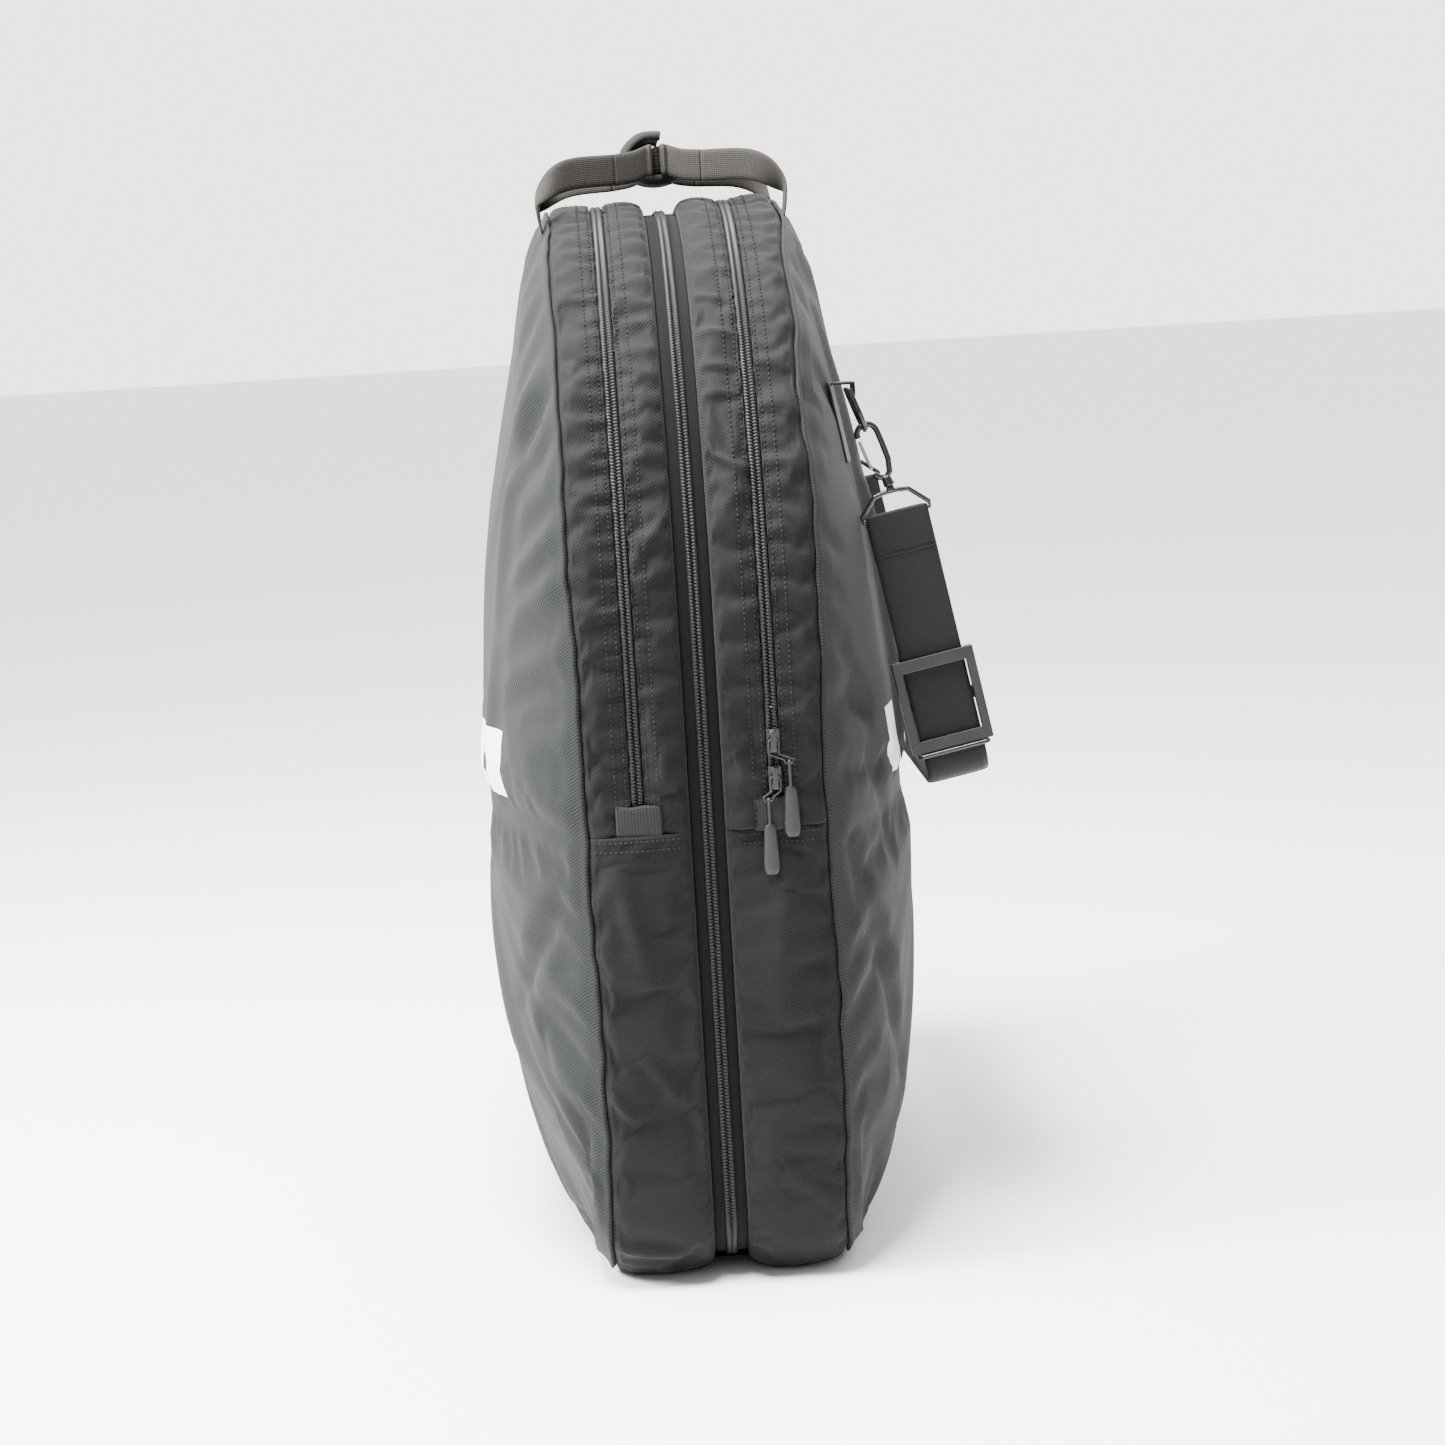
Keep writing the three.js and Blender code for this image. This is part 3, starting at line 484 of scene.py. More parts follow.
FACE_FOLDS = {
    "left": [((-0.215, 0.74), (-0.165, 0.50), 0.014, 0.006), ((-0.165, 0.50), (-0.14, 0.36), 0.016, 0.005),
             ((-0.06, 0.30), (-0.235, 0.09), 0.018, 0.007), ((-0.27, 0.31), (-0.18, 0.20), 0.012, -0.005),
             ((0.05, 0.66), (0.10, 0.30), 0.025, 0.005), ((0.24, 0.52), (0.14, 0.20), 0.020, -0.005)],
    "right": [((-0.275, 0.50), (-0.20, 0.34), 0.014, -0.007), ((-0.265, 0.30), (-0.18, 0.12), 0.013, -0.006),
              ((-0.12, 0.60), (-0.16, 0.36), 0.020, 0.005), ((0.10, 0.62), (0.16, 0.24), 0.024, 0.005),
              ((-0.05, 0.25), (-0.22, 0.07), 0.018, 0.006)],
}


def broad_face(side_name):
    """One padded skin over a whole broad face."""
    side = SIDES[side_name]
    around, rings, centre_z, floor_gap, seam_inset = 340, 54, 0.40, 0.0008, 0.003
    s = np.linspace(0, OUTLINE.length, around, endpoint=False)
    y, z, ny, nz = OUTLINE.at(s)
    ring = np.concatenate([[1.0, 1.004, 1.002, 0.996], np.linspace(0.985, 0.06, rings)])
    gy = (y - ny * seam_inset)[:, None] * ring
    gz = centre_z + (z - nz * seam_inset - centre_z)[:, None] * ring
    gz = np.clip(gz, floor_gap, None)
    inward = np.clip((1 - ring) / 0.02, 0, 1)[None, :]
    rise = FACE_RIM * np.array([0.12, 0.45, 0.8, 0.97] + [1.0] * rings)[None, :]
    swell = 0.96 * face_bulge(gy, gz) * inward
    seam = np.clip((1 - ring) * 0.30 / 0.035, 0, None)[None, :]
    close, wider = 1.8 * seam, 1.0 * seam
    pucker = waves(s, 0 * s, 11 + side, 0.030)[:, None] * 0.0015 * close * np.exp(1 - close)
    pucker += waves(s, 0 * s, 21 + side, 0.075)[:, None] * 0.0016 * wider * np.exp(1 - wider)
    loose = np.clip((1 - ring) / 0.25, 0, 1)[None, :]
    soft = (0.0022 * waves(gy, gz, 31 + side, 0.26) + 0.0004 * waves(gy, gz, 33 + side, 0.09)) * loose
    folds = sum(crease(gy, gz, *fold) for fold in FACE_FOLDS[side_name]) * np.clip(loose * 3, 0, 1)
    x = SEAM_X + seam_wobble(s, side)[:, None] * (1 - loose) + rise + swell + pucker + soft + folds
    x = np.minimum(x, FACE_X + 0.010)
    outer = np.stack([side * x, gy, gz], -1)
    pinned = np.broadcast_to(ring[None, :] > 0.98, x.shape) | (np.abs(gz - HINGE_Z) < 0.012)
    outer = drape(outer, pinned, (side, 0, 0), 0.016, 0.7, 0.007, 18, loop=True, bending=1.5)
    outer[..., 0] = side * np.minimum(np.abs(outer[..., 0]), FACE_X + 0.012)
    outer[..., 2] = np.maximum(outer[..., 2], floor_gap)
    if side > 0:
        outer[..., 0] = np.minimum(outer[..., 0], strap_limit(outer[..., 1], outer[..., 2]))
    inner = inset(outer, np.array([side, 0, 0]), SKIN, loop=True)
    inner[..., 2] = np.maximum(inner[..., 2], 0.0)
    uv = np.stack([gy, gz], -1)
    skin = shell(f"{side_name}_face_skin", outer, inner, uv, loop=True)
    cap_centre(skin, outer[:, -1])
    give(skin, MATERIALS["face"])
    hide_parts(f"{side_name}_face_upper", f"{side_name}_face_lower")
    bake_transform(skin)
    return skin


def cap_centre(skin, rim):
    """Closes the small hole left in the middle of a ring-shaped grid, on both of its surfaces."""
    work = bmesh.new()
    work.from_mesh(skin.data)
    layer = work.loops.layers.uv.verify()
    middle_wall = [face for face in work.faces if is_hole_wall(face, rim)]
    bmesh.ops.delete(work, geom=middle_wall, context="FACES_ONLY")
    edges = [edge for edge in work.edges if edge.is_boundary]
    filled = bmesh.ops.holes_fill(work, edges=edges, sides=0)["faces"]
    made = bmesh.ops.poke(work, faces=filled)["faces"]
    for face in made:
        for corner in face.loops:
            corner[layer].uv = (corner.vert.co.y, corner.vert.co.z)
        face.smooth = True
    bmesh.ops.recalc_face_normals(work, faces=work.faces)
    work.to_mesh(skin.data)
    work.free()


def is_hole_wall(face, rim):
    """True for the quads that join the two surfaces round the hole in the middle."""
    reach = 1.05 * np.abs(rim[:, 1]).max()
    middle = face.calc_center_median()
    flat = abs(face.normal.x) < 0.6
    return flat and abs(middle.y) < reach and abs(middle.z - rim[:, 2].mean()) < 0.06


# ---- Gusset panels ---------------------------------------------------------------------------
def gusset_skin(name, profile, s_range, side, wrinkles, seed, seam=False, sewn=()):
    """A strip of gusset: `profile` is a short list of (x, height above the outline) across it."""
    row_step, columns, pinned_first, pinned_last = 0.0030, 44, 9, 11
    rows = max(int((s_range[1] - s_range[0]) / row_step), 8)
    s = np.linspace(*s_range, rows)
    across = smooth_list(profile, columns)
    ny, nz = OUTLINE.at(s)[2:]
    along, flat_x = np.broadcast_arrays(s[:, None], across[:, 0][None, :])
    wide = abs(profile[0][0] - profile[-1][0])
    t = np.clip(np.abs(flat_x - profile[-1][0]) / wide, 0, 1)
    body = np.sin(t * math.pi) ** 0.7
    ripple = wrinkles * waves(along, flat_x, seed, 0.030, stretch=0.35) * body
    ripple += 1.6 * wrinkles * waves(along, flat_x, seed + 1, 0.11, stretch=0.7) * body
    for row_x in sewn:
        groove = np.exp(-(((flat_x - row_x) / 0.0011) ** 2))
        pinch = np.exp(-(((flat_x - row_x) / 0.006) ** 2)) * waves(s, 0 * s, seed + 7, 0.013)[:, None]
        ripple = ripple - 0.0005 * groove + 0.0005 * pinch
    for start, start_x, end, end_x, fold_wide, fold_deep in GUSSET_FOLDS.get(name, []):
        ripple = ripple + crease(along, flat_x, (OUTLINE.hinge + start, start_x),
                                 (OUTLINE.hinge + end, end_x), fold_wide, fold_deep)
    x = flat_x
    if seam:
        near_seam = np.clip(1 - np.abs(SEAM_X - flat_x) / 0.012, 0, 1)
        x = x + seam_wobble(s, side)[:, None] * near_seam
        ripple = ripple - 0.0010 * near_seam * (1 + waves(s, 0 * s, seed + 5, 0.028))[:, None]
    outer = OUTLINE.raised(s, side * x, across[:, 1][None, :] + ripple)
    edges = np.arange(columns)
    pinned = (edges < pinned_first) | (edges > edges[-1] - pinned_last)
    ends = (s < s_range[0] + 0.005) | (s > s_range[1] - 0.005)
    middle = rows // 2
    outward = (0, 0, 1) if whole(s_range) else (0, ny[middle], nz[middle])
    outer = drape(outer, pinned[None, :] | ends[:, None], outward, 0.021, 0.5, 0.0045, 14)
    away = np.stack([0 * s, ny, nz], -1)[:, None, :]
    inner = inset(outer, away, SKIN * 0.6)
    inner[..., 2] = np.maximum(inner[..., 2], 0.0)
    outer[..., 2] = np.maximum(outer[..., 2], 0.0)
    return shell(name, outer, inner, np.stack([flat_x, along], -1))


def whole(s_range):
    """True for a strip that runs over the top from one side to the other."""
    return s_range[1] - s_range[0] > 0.5 * OUTLINE.length


def upper_range(margin=0.0004):
    return OUTLINE.hinge + margin, OUTLINE.length - OUTLINE.hinge - margin


# Folds in the gussets: start above the hinge, start x, end above the hinge, end x, width, depth.
GUSSET_FOLDS = {
    "left_gusset_near_skin": [
        (-0.17, 0.060, -0.215, 0.028, 0.006, 0.0045), (-0.20, 0.088, -0.225, 0.064, 0.005, 0.004),
        (-0.325, 0.090, -0.33, 0.035, 0.006, 0.005), (-0.02, 0.070, -0.12, 0.050, 0.009, 0.004),
        (-0.08, 0.032, -0.26, 0.026, 0.008, -0.003)],
    "right_gusset_near_skin": [
        (-0.02, 0.060, -0.16, 0.044, 0.010, 0.0035), (-0.05, 0.086, -0.20, 0.074, 0.008, -0.004),
        (-0.30, 0.085, -0.27, 0.040, 0.008, 0.0035)],
    "right_gusset_inner_skin": [
        (0.42, 0.016, 0.415, 0.045, 0.004, 0.0030), (0.385, 0.016, 0.38, 0.045, 0.004, 0.0028),
        (0.355, 0.016, 0.352, 0.045, 0.004, 0.0030), (0.332, 0.016, 0.33, 0.045, 0.004, 0.0026),
        (0.29, 0.016, 0.265, 0.045, 0.005, 0.0034), (0.06, 0.020, 0.02, 0.044, 0.006, 0.003)],
    "left_gusset_inner_skin": [
        (0.24, 0.018, 0.20, 0.046, 0.006, 0.0032), (0.11, 0.040, 0.03, 0.030, 0.007, 0.0030),
        (0.40, 0.016, 0.398, 0.045, 0.004, 0.0020)],
}


def folded_edge(edge, way):
    """The profile of cloth folded under at x = edge, beside a zip."""
    return [(edge + way * 0.0022, 0.0006), (edge + way * 0.0003, -0.0002),
            (edge, -0.0022), (edge + way * 0.002, -0.0036)]


def lower_runs():
    """The lengths of the outline below the fold, from the base's corner up, on each narrow side."""
    near = (OUTLINE.corner, OUTLINE.hinge)
    return {"near": near, "far": tuple(OUTLINE.length - s for s in reversed(near))}


def gussets():
    """The strips on both sides of each zip, the plain lower panels, and the dividers' lining."""
    slot_out, slot_in = ZIP_X + SLOT_HALF, ZIP_X - SLOT_HALF
    seam_edge = [(SEAM_X - 0.0004, -0.0042), (SEAM_X - 0.0016, -0.0012), (SEAM_X - 0.006, 0.0010)]
    rolled = [(GROOVE_X + 0.006, 0.0008), (GROOVE_X + 0.0018, -0.0026), (GROOVE_X + 0.0004, -0.0066),
              (GROOVE_X + 0.0002, -0.0102)]
    outer_profile = seam_edge + [(0.078, 0.0020), (0.066, 0.0014)] + folded_edge(slot_out, 1)
    inner_profile = folded_edge(slot_in, -1)[::-1] + [(0.036, 0.0020), (0.026, 0.0022)] + rolled
    lower_profile = seam_edge + [(0.074, 0.0030), (0.050, 0.0036), (0.030, 0.0030)] + rolled
    for side_name, side in SIDES.items():
        outer = gusset_skin(f"{side_name}_gusset_outer_skin", outer_profile, upper_range(), side, 0.0008,
                            60 + side, seam=True, sewn=[slot_out + offset for offset in STITCH_OFFSETS])
        finish_piece(outer, "gusset", "fabric", f"{side_name}_lid", f"{side_name}_gusset_outer")
        inner = gusset_skin(f"{side_name}_gusset_inner_skin", inner_profile, upper_range(), side, 0.0011,
                            70 + side, sewn=[slot_in - offset for offset in STITCH_OFFSETS])
        finish_piece(inner, "gusset", "fabric", "body", f"{side_name}_gusset_inner")
        for end_name, span in lower_runs().items():
            lower = gusset_skin(f"{side_name}_gusset_{end_name}_skin", lower_profile, span, side, 0.0008,
                                80 + side + 4 * ENDS[end_name], seam=True)
            finish_piece(lower, "gusset", "fabric", "body", f"{side_name}_gusset_{end_name}")
        give(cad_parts[f"{side_name}_divider"], MATERIALS["lining"])


def base_skin():
    """The flat base, slightly crowned inside and flat where it stands."""
    depth = HALF_DEPTH - BASE_CORNER
    u, v = np.linspace(-SEAM_X, SEAM_X, 40), np.linspace(-depth + 0.002, depth - 0.002, 90)
    gx, gy = np.meshgrid(u, v, indexing="ij")
    edge = np.minimum(1 - np.abs(gx) / SEAM_X, 1 - np.abs(gy) / depth)
    soft = 0.0006 * waves(gx, gy, 91, 0.06) * np.clip(edge * 8, 0, 1)
    outer = np.stack([gx, gy, 0 * gx], -1)
    inner = np.stack([gx, gy, 0.0034 + soft], -1)
    piece = shell("base_skin", outer, inner, np.stack([gx, gy], -1))
    finish_piece(piece, "gusset", "fabric", "body", "base_panel")


# ---- Zips ------------------------------------------------------------------------------------
def coil_mesh(x_inner, away, s_range, lift, phase):
    """One half of a nylon coil: a bead along the zip, notched at every turn of the coil."""
    count = int((s_range[1] - s_range[0]) / (COIL_PITCH / 4))
    s = np.linspace(*s_range, count)
    columns = 8
    beat = np.cos(2 * math.pi * (s / COIL_PITCH + phase))
    wide, tall = 0.0021 + 0.0004 * beat, 0.00125 + 0.00060 * beat
    angle = np.linspace(0, 2 * math.pi, columns, endpoint=False)
    cx = x_inner + away * (0.0023 - 0.00050 * beat)
    px = cx[:, None] + wide[:, None] * np.cos(angle)
    up = lift + tall[:, None] * np.sin(angle)
    points = OUTLINE.raised(s, px, up)
    r, c = np.divmod(grid_faces(count, columns + 1), columns + 1)
    quads = r * columns + c % columns
    ends = [np.arange(columns)[::-1], (count - 1) * columns + np.arange(columns)]
    return points.reshape(-1, 3), quads.tolist() + [end.tolist() for end in ends]


def swept_tape(name, profile, s_range):
    """A thin woven tape along the outline: `profile` lists (x, height above the outline) across it."""
    row_step, thickness = 0.005, 0.0008
    s = np.linspace(*s_range, int((s_range[1] - s_range[0]) / row_step))
    x, height = np.array(profile).T
    surfaces = [OUTLINE.raised(s, x, height), OUTLINE.raised(s, x, height - thickness)]
    for surface in surfaces:
        surface[..., 2] = np.maximum(surface[..., 2], 0)
    uv = np.stack(np.broadcast_arrays(x[None, :], s[:, None]), -1)
    return shell(name, *surfaces, uv)


def zip_half(name, x_inner, away, s_range, lift, tape_course, body, phase):
    """A coil with its woven tape, which goes on under the cloth beside it."""
    coil = mesh_object(f"{name}_coil", *coil_mesh(x_inner, away, s_range, lift, phase))
    finish_piece(coil, "coil", "coil", body)
    profile = [(x_inner + away * reach, drop) for reach, drop in tape_course]
    tape = swept_tape(f"{name}_tape", profile, s_range)
    finish_piece(tape, "tape", "coil", body, name)


def zips():
    """Both compartment zips over the top, and the recessed zip all round the middle."""
    gap = 0.0001
    side_tape = [(0.0006, -0.0024), (0.0046, -0.0026), (0.0064, -0.0048), (0.0120, -0.0052)]
    centre_tape = [(0.0006, -0.0086), (0.0118, -0.0088), (0.0131, -0.0122), (0.0185, -0.0124)]
    for side_name, side in SIDES.items():
        for half, away, body in (("outer", side, f"{side_name}_lid"), ("inner", -side, "body")):
            start = side * ZIP_X + away * gap
            zip_half(f"{side_name}_zip_{half}", start, away, upper_range(0.001), -0.0012, side_tape,
                     body, 0.0 if half == "outer" else 0.5)
    around = (OUTLINE.corner + 0.012, OUTLINE.length - OUTLINE.corner - 0.012)
    for side_name, side in SIDES.items():
        zip_half(f"centre_zip_{side_name}", side * gap, side, around, -CENTRE_RECESS - 0.0004,
                 centre_tape, "body", 0.25 * (1 + side))


def seam_shade_tapes():
    """Tape in the bottom of each face seam, which closes the gap there and shows as a dark line between the
    stitches: painted shade, its dark colour standing in for the shadow in the seam's groove.
    """
    foot, fold, whole_way = OUTLINE.corner, OUTLINE.hinge, OUTLINE.length
    runs = {"upper": upper_range(0.001), "near": (foot, fold - 0.001),
            "far": (whole_way - fold + 0.001, whole_way - foot)}
    course = [(0.0840, -0.0052), (0.0905, -0.0048), (0.0936, -0.0052)]
    for side_name, side in SIDES.items():
        for run_name, span in runs.items():
            seam_shade_tape = swept_tape(f"{side_name}_{run_name}_binding", [(side * x, h) for x, h in course], span)
            body = f"{side_name}_lid" if run_name == "upper" else "body"
            # Painted shade: the seam tape takes the dark zip-tape colour to stand for the shadow in the
            # seam.
            finish_piece(seam_shade_tape, "tape", "lining", body)


# ---- Stitching -------------------------------------------------------------------------------
def laid_on(skin, points, normals):
    """The points of a path dropped onto a skin's surface, and a little proud of it."""
    reach, depth, proud = 0.02, 0.05, 0.0002
    tree = BVHTree.FromPolygons([v.co for v in skin.data.vertices],
                                [tuple(face.vertices) for face in skin.data.polygons])
    laid = []
    for point, normal in zip(points, normals):
        normal = Vector(normal)
        hit = tree.ray_cast(Vector(point) + normal * reach, -normal, depth)[0]
        laid.append((hit if hit is not None else Vector(point)) + normal * proud)
    return np.array(laid)


def stitches(name, points, normals, body, pitch=STITCH_PITCH, on=None):
    """A row of separate stitches along a path, each a small grain lying in the cloth."""
    long, thick, sides = 0.0029, 0.00075, 6
    if on:
        points = laid_on(bpy.data.objects[on], points, normals)
    steps = path_lengths(points)
    at = np.arange(pitch / 2, steps[-1], pitch)

    def sampled(rows, where):
        return np.stack([np.interp(where, steps, rows[:, i]) for i in range(3)], -1)

    centre, up = sampled(points, at), unit(sampled(normals, at))
    along = unit(sampled(points, at + 0.001) - sampled(points, at - 0.001))
    side = np.cross(along, up)
    angle = np.linspace(0, 2 * math.pi, sides, endpoint=False)
    ring = side[:, None] * (np.cos(angle) * thick)[None, :, None] + up[:, None] * (
        np.sin(angle) * thick * 0.8)[None, :, None]
    grain = np.concatenate([centre[:, None] + ring + along[:, None] * long * 0.28,
                            centre[:, None] + ring - along[:, None] * long * 0.28], 1)
    tips = np.stack([centre + along * long / 2, centre - along * long / 2], 1)
    block = np.concatenate([grain, tips], 1)
    faces = []
    for k in range(sides):
        after = (k + 1) % sides
        faces += [(k, after, 2 * sides), (sides + after, sides + k, 2 * sides + 1),
                  (k, sides + k, sides + after), (k, sides + after, after)]
    faces = (np.arange(len(at))[:, None, None] * (2 * sides + 2) + np.array(faces)[None]).reshape(-1, 3)
    row = mesh_object(name, block.reshape(-1, 3), faces)
    finish_piece(row, "thread", "fabric", body)


def along_outline(x, lift, s_range):
    """Points and normals on the outline at one x, for a row of stitches."""
    s = np.arange(*s_range, 0.002)
    y, z, ny, nz = OUTLINE.at(s)
    points = np.stack([0 * s + x, y + ny * lift, z + nz * lift], -1)
    return points, np.stack([0 * s, ny, nz], -1)


def stitch_rows():
    """Double rows beside each outer zip, and two rows under each cross seam."""
    for side_name, side in SIDES.items():
        for way, strip, half, body, lift in ((1, "outer", "lid", f"{side_name}_lid", 0.0016),
                                             (-1, "inner", "body", "body", 0.0018)):
            for offset, row in zip(STITCH_OFFSETS, "ab"):
                x = ZIP_X + way * SLOT_HALF + way * offset
                points, normals = along_outline(side * x, lift, upper_range(0.006))
                stitches(f"{side_name}_stitch_{half}_{row}", points, normals, body,
                         on=f"{side_name}_gusset_{strip}_skin")
        for end_name, towards in ENDS.items():
            for row, drop in enumerate((0.004, 0.011)):
                x = np.linspace(GROOVE_X + 0.008, SEAM_X - 0.005, 20)
                arc = np.sin((x - GROOVE_X) / (SEAM_X - GROOVE_X) * math.pi)
                y = towards * (HALF_DEPTH + 0.0012 + 0.0026 * arc**0.5)
                points = np.stack([side * x, y, 0 * x + HINGE_Z - drop], -1)
                normals = np.tile([0, towards, 0], (x.size, 1))
                stitches(f"{side_name}_{end_name}_cross_stitch_{row}", points, normals, "body",
                         on=f"{side_name}_gusset_{end_name}_skin")


# ---- Webbing ---------------------------------------------------------------------------------
def zip_tabs():
    """Folded webbing tabs sewn over the ends of the outer zips."""
    for side_name in SIDES:
        for end_name, towards in ENDS.items():
            low, high = (Vector(corner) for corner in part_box(f"{side_name}_zip_tab_{end_name}"))
            x = np.linspace(low.x, high.x, 24)
            t = np.linspace(-1, 1, 24)
            y = 0 * x + towards * (HALF_DEPTH + 0.0030) - towards * 0.0010 * t**4
            z = 0 * x + (low.z + high.z) / 2 + 0.0005 * np.sin(5 * t)
            points = np.stack([x, y, z], -1)
            across = np.tile([0, 0, 1.0], (x.size, 1))
            tab = ribbon(f"{side_name}_{end_name}_tab", points, across, high.z - low.z, 0.0017, bow=0.0004)
            finish_piece(tab, "tab", "webbing", "body", f"{side_name}_zip_tab_{end_name}")


def handle_legs():
    """Webbing from the face seams to the grip."""
    root_y, top_z, top_x = 0.090, 0.859, 0.035
    for side_name, side in SIDES.items():
        grip_body = "grip" if side < 0 else "right_grip"
        for end_name, towards in ENDS.items():
            route = [(side * (SEAM_X + 0.0055), towards * (root_y - 0.001), 0.812),
                     (side * (SEAM_X + 0.0080), towards * root_y, 0.827),
                     (side * (SEAM_X + 0.0074), towards * (root_y - 0.003), 0.840),
                     (side * (SEAM_X - 0.0056), towards * (root_y - 0.008), 0.8515),
                     (side * 0.068, towards * (root_y - 0.016), 0.8575),
                     (side * top_x, towards * (root_y - 0.030), top_z)]
            points = smooth_list(route, 60)
            t = np.clip(np.linspace(-0.22, 1.35, 60), 0, 1)[:, None]
            t = t * t * (3 - 2 * t)
            across = (1 - t) * np.array([0, 1.0, 0]) + t * np.array([0, 0.0, towards * side])
            leg = ribbon(f"{side_name}_{end_name}_leg", points, across, HANDLE_WIDE, HANDLE_THICK)
            give(leg, MATERIALS["handle"])
            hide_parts(f"{side_name}_handle_leg_{end_name}")
            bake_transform(leg)
        bend = [(top_x, 0.0602, top_z), (0.020, 0.054, 0.861), (0.009, 0.048, 0.865),
                (0.004, 0.041, BAR_Z)]
        half = [(side * x, -y, z) for x, y, z in bend]
        points = smooth_list(half + [(x, -y, z) for x, y, z in half][::-1], 60)
        across = np.tile([0, 0, 1.0], (60, 1))
        bar = ribbon(f"{side_name}_bar", points, across, HANDLE_WIDE, HANDLE_THICK)
        finish_piece(bar, "handle", "webbing", grip_body, f"{side_name}_handle_bar")


def grip_wrap():
    """The padded wrap round both handle webbings, soft between its bound ends."""
    low, high = (Vector(corner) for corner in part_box("grip_wrap"))
    middle_z, wide = 0.868, -low.x
    tall, half_long = high.z - middle_z, high.y
    t = np.linspace(-1, 1, 60)
    angle = np.radians(np.linspace(80, 312, 56))
    swell = 1 - 0.13 * np.abs(t) ** 5 - 0.06 * np.exp(-(((np.abs(t) - 0.86) / 0.05) ** 2))
    bumps = 1 + 0.020 * waves(t[:, None] + 0 * angle, 0.12 * angle[None, :], 7, 0.6)
    lump = 1 + 0.05 * np.exp(-(((angle - math.radians(112)) / 0.30) ** 2))[None, :]
    scale = np.minimum(swell[:, None] * bumps * lump, 1.08)

    def surface(depth):
        x = (wide * scale - depth) * np.cos(angle)
        z = middle_z + (tall * scale - depth) * np.sin(angle)
        return np.stack([x, np.broadcast_to(t[:, None] * half_long, x.shape), z], -1)

    uv = np.stack(np.broadcast_arrays(angle[None, :] * wide, t[:, None] * half_long), -1)
    wrap = shell("grip_wrap_skin", surface(0), surface(0.0052), uv)
    finish_piece(wrap, "grip", "fabric", "grip", "grip_wrap")
    route = np.array([(0, half_long * share, BAR_Z) for share in np.linspace(-0.94, 0.94, 30)])
    flap = ribbon("grip_wrap_flap", route, np.tile([0, 0, 1.0], (30, 1)), 0.024, 0.0050)
    finish_piece(flap, "grip", "fabric", "grip")


# ---- Shoulder strap --------------------------------------------------------------------------
def rounded(node, look, slot, body, voxel, rounds=6, swell=0.0):
    """A finer, round-edged copy of a CAD piece that stands for it. Wire swells by what smoothing takes."""
    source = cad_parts[node]
    mesh = source.data.copy()
    mesh.transform(source.matrix_world)
    piece = add_object(f"{node}_fine", mesh)
    remesh = piece.modifiers.new("remesh", "REMESH")
    remesh.mode, remesh.voxel_size = "VOXEL", voxel
    smooth = piece.modifiers.new("smooth", "SMOOTH")
    smooth.iterations, smooth.factor = rounds, 0.5
    grow = piece.modifiers.new("grow", "DISPLACE")
    grow.mid_level, grow.strength = 0, swell
    shaped = piece.evaluated_get(bpy.context.evaluated_depsgraph_get())
    fine = bpy.data.meshes.new_from_object(shaped)
    piece.modifiers.clear()
    piece.data = fine
    fine.polygons.foreach_set("use_smooth", [True] * len(fine.polygons))
    finish_piece(piece, look, slot, body, node)


def hardware():
    """Rings, hooks, gates, loops, sliders and pulls with softened edges, and the D-rings' webbing."""
    for end_name in ENDS:
        for wire in ("d_ring", "hook", "strap_loop"):
            rounded(f"{wire}_{end_name}", "metal", "metal", "strap", WIRE_VOXEL, 4, WIRE_SWELL)
        rounded(f"hook_gate_{end_name}", "bright", "metal", f"gate_{end_name}", 0.00035)
    rounded("strap_adjuster", "plastic", "plastic", "adjuster", 0.0006, 8)
    rounded("adjuster_loop", "metal", "metal", "adjuster", WIRE_VOXEL, 4, WIRE_SWELL)
    for tag in ("right_lower", "right_upper", "left_lower", "left_upper", "centre"):
        rounded(f"{tag}_slider", "metal", "metal", f"{tag}_slide", 0.0004, 5)
        rounded(f"{tag}_bail", "metal", "metal", f"{tag}_tag", 0.0003, 2, 0.0002)
        rounded(f"{tag}_pull", "plastic", "plastic", f"{tag}_tag", 0.0004, 4)
    for end_name in ENDS:
        rounded(f"chape_{end_name}", "strap", "webbing", "right_lid", 0.0006, 4)


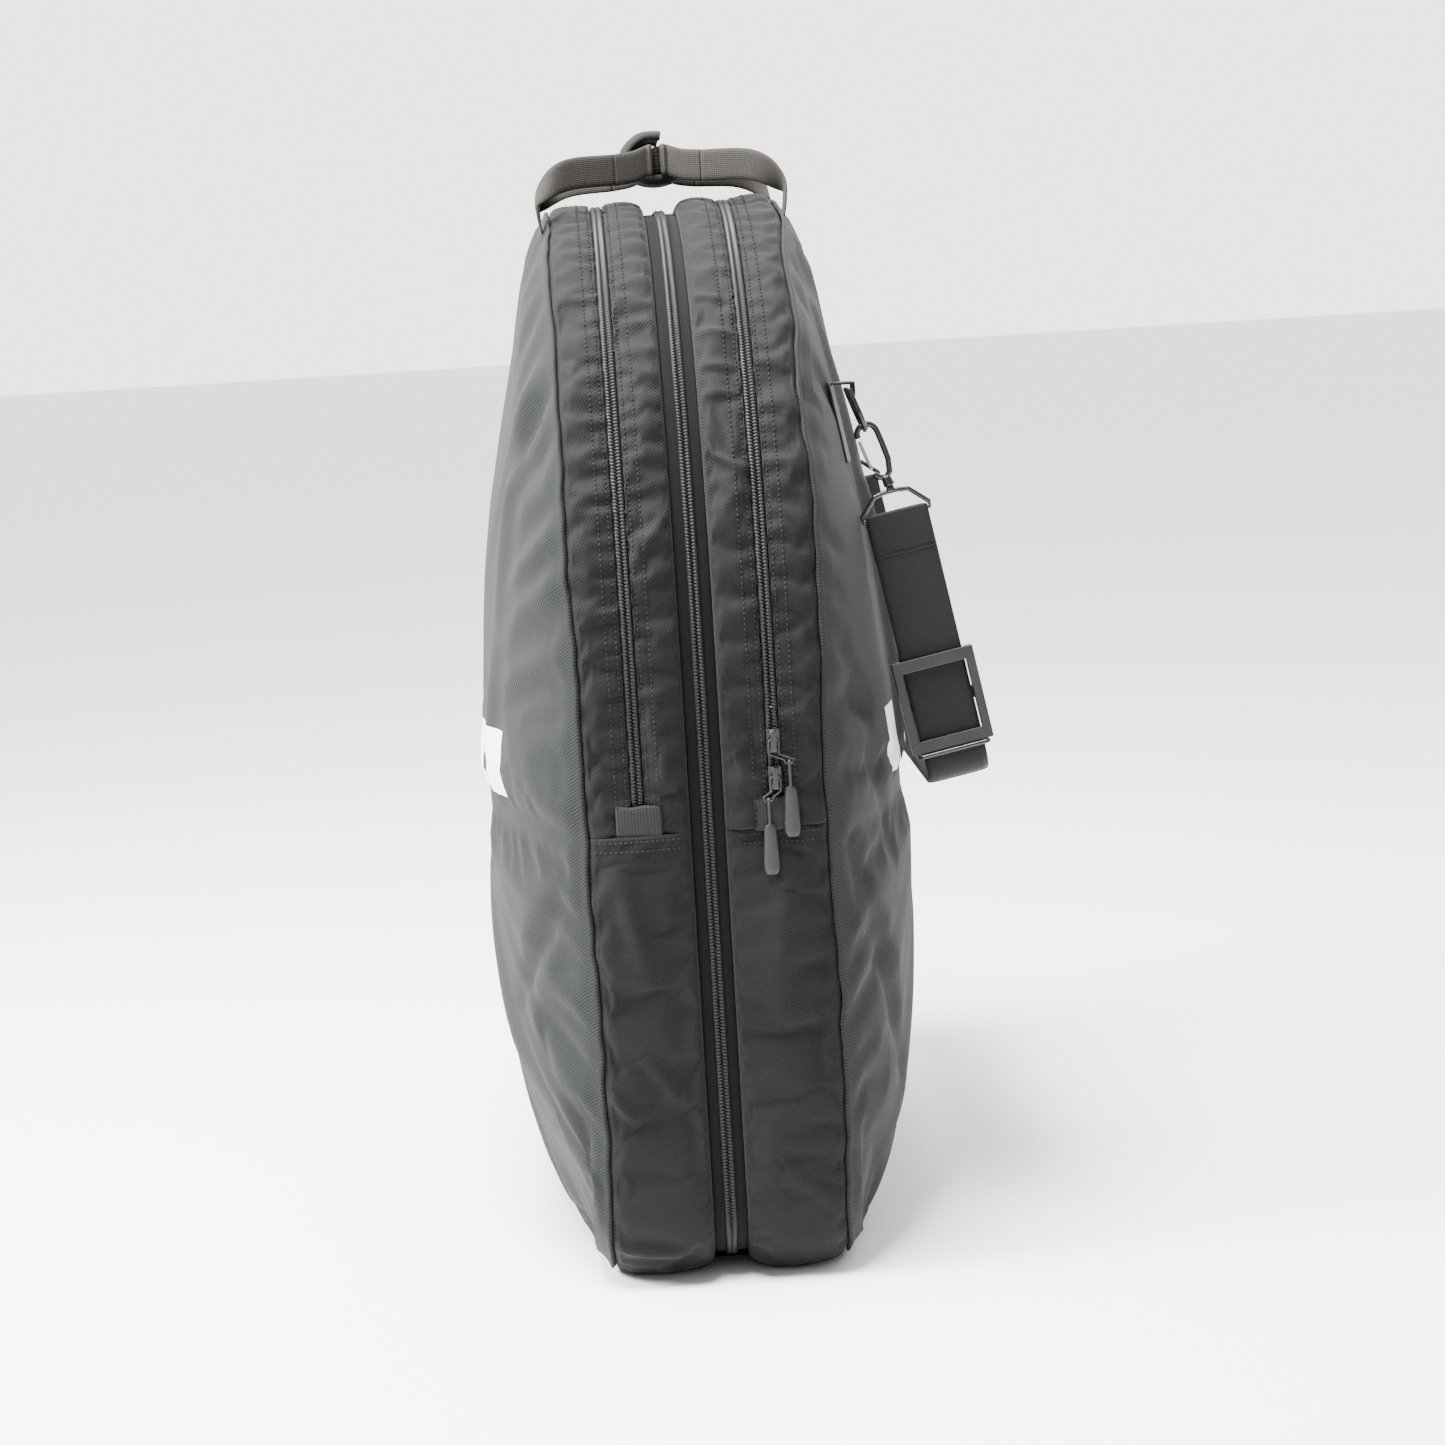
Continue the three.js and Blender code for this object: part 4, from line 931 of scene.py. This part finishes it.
def strap_cloth():
    """The strap's webbing, worked out from the CAD band's own mesh so that it keeps its route."""
    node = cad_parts["strap_webbing"]
    points = np.array([node.matrix_world @ v.co for v in node.data.vertices])
    lean = math.radians(11)
    out = np.array([math.cos(lean), 0, math.sin(lean)])
    down = np.array([math.sin(lean), 0, -math.cos(lean)])
    middle = points @ out
    centre = 0.5 * (middle.min() + middle.max())
    top, bottom = (points @ down).min(), (points @ down).max()
    near = points[:, 1].min()
    fold, turn, count = 0.0030, 0.024, 420
    y_out = -near - STRAP_THICK / 2
    y_in = y_out - 2 * fold
    top_d, low_d = top + STRAP_THICK / 2 + fold, bottom - STRAP_THICK / 2
    arch = np.linspace(0, math.pi, 9)
    cap = [(-(y_out - fold) + fold * math.cos(a), top_d - fold * math.sin(a)) for a in arch]
    bend = np.linspace(0, math.pi / 2, 8)
    corner = [(-y_out + turn - turn * math.cos(a), low_d - turn * (1 - math.sin(a))) for a in bend]
    leg = [(-y_out, top_d + f * (low_d - turn - top_d)) for f in (0.2, 0.4, 0.6, 0.8)]
    half = [(-y_in, top_d + 0.034), (-y_in, top_d + 0.016)] + cap + leg + corner
    sag = [(-0.09, low_d + 0.0004), (0.0, low_d + 0.0006)]
    route = half + sag + [(-y, d) for y, d in (half + sag[:1])[::-1]]
    path = smooth_list(route, count)
    spots = path[:, :1] * np.array([[0, 1.0, 0]]) + path[:, 1:] * down + centre * out
    band = ribbon("strap_band", spots, np.tile(out, (count, 1)), STRAP_WIDE, STRAP_THICK, bow=0.0003)
    finish_piece(band, "strap", "strap", "strap", "strap_webbing")
    for end_name, towards in ENDS.items():
        for row, drop in enumerate((0.026, 0.030)):
            x = np.linspace(-0.022, 0.022, 12)
            line = (centre + x)[:, None] * out + (top_d + drop) * down
            line = line + np.array([0, towards * (y_out + STRAP_THICK / 2 + 0.0003), 0])
            normals = np.tile([0, towards, 0], (12, 1))
            stitches(f"strap_{end_name}_stitch_{row}", line, normals, "strap", pitch=0.003)


# ---- Studio ----------------------------------------------------------------------------------
def studio_material(name, colour):
    n = Nodes(name)
    grain = n.node("ShaderNodeTexNoise", Scale=3.0, Detail=2.0)
    n.link(n.mix(grain.outputs["Fac"], tuple(c * 0.99 for c in colour), colour),
           n.shader.inputs["Base Color"])
    n.set_shader(Roughness=0.7)
    return n.material


def studio():
    """A pale sweep of floor, a white surround and large soft lights."""
    mesh = bpy.data.meshes.new("floor")
    size = 30.0
    mesh.from_pydata([(-size, -size, 0), (size, -size, 0), (size, size, 0), (-size, size, 0)], [],
                     [(0, 1, 2, 3)])
    floor = add_object("floor", mesh)
    floor.location.z = -0.0008
    give(floor, studio_material("floor_white", (0.94, 0.94, 0.94)))
    world = bpy.data.worlds.new("surround")
    world.use_nodes = True
    surround(world.node_tree)
    bpy.context.scene.world = world
    add_light("top_softbox", (-0.3, -0.5, 2.2), (0, 0, 0.6), 0.8, 230)
    add_light("left_softbox", (-2.1, -0.45, 1.8), (0, 0, 0.6), 0.8, 270)


def surround(tree):
    """Light from every side, brightest overhead and behind the bag, dim in front."""
    background = tree.nodes["Background"]
    background.inputs[0].default_value = (1, 1, 1, 1)
    place = tree.nodes.new("ShaderNodeTexCoord").outputs["Generated"]
    split = tree.nodes.new("ShaderNodeSeparateXYZ")
    tree.links.new(place, split.inputs[0])
    shares = []
    for axis, low, high, dim, bright in ((1, -0.4, 0.6, 0.12, 3.2), (2, 0.1, 1.0, 0.0, 1.1)):
        share = tree.nodes.new("ShaderNodeMapRange")
        share.interpolation_type = "SMOOTHSTEP"
        for socket, value in zip(list(share.inputs)[1:5], (low, high, dim, bright)):
            socket.default_value = value
        tree.links.new(split.outputs[axis], share.inputs[0])
        shares.append(share.outputs[0])
    total = tree.nodes.new("ShaderNodeMath")
    total.operation = "ADD"
    for socket, share in zip(total.inputs, shares):
        tree.links.new(share, socket)
    tree.links.new(total.outputs[0], background.inputs[1])


def add_light(name, place, aim, size, power):
    lamp = bpy.data.lights.new(name, "AREA")
    lamp.size, lamp.energy = size, power
    light = add_object(name, lamp)
    light.location = place
    light.rotation_euler = (Vector(aim) - Vector(place)).to_track_quat("-Z", "Y").to_euler()


def camera():
    """The view at rest: a little above the middle, nearly square to the narrow side."""
    azimuth, pitch, roll = math.radians(-2.0), math.radians(9.2), math.radians(3.45)
    distance, height, lens, shift = 2.258, 0.760, 66.4, 0.0235
    back = Vector((math.sin(azimuth) * math.cos(pitch), -math.cos(azimuth) * math.cos(pitch),
                   math.sin(pitch)))
    right = Vector((math.cos(azimuth), math.sin(azimuth), 0))
    up = back.cross(right)
    turn = Matrix((right, up, back)).transposed().to_4x4()
    data = bpy.data.cameras.new("camera")
    data.sensor_width, data.lens, data.shift_x = 36, lens, shift
    view = add_object("camera", data)
    place = Vector((distance * math.sin(azimuth), -distance * math.cos(azimuth), height))
    view.matrix_world = Matrix.Translation(place) @ turn @ Matrix.Rotation(-roll, 4, "Z")
    bpy.context.scene.camera = view


camera()
studio()
for name in SIDES:
    broad_face(name)
gussets()
base_skin()
zips()
seam_shade_tapes()
stitch_rows()
zip_tabs()
handle_legs()
grip_wrap()
hardware()
strap_cloth()
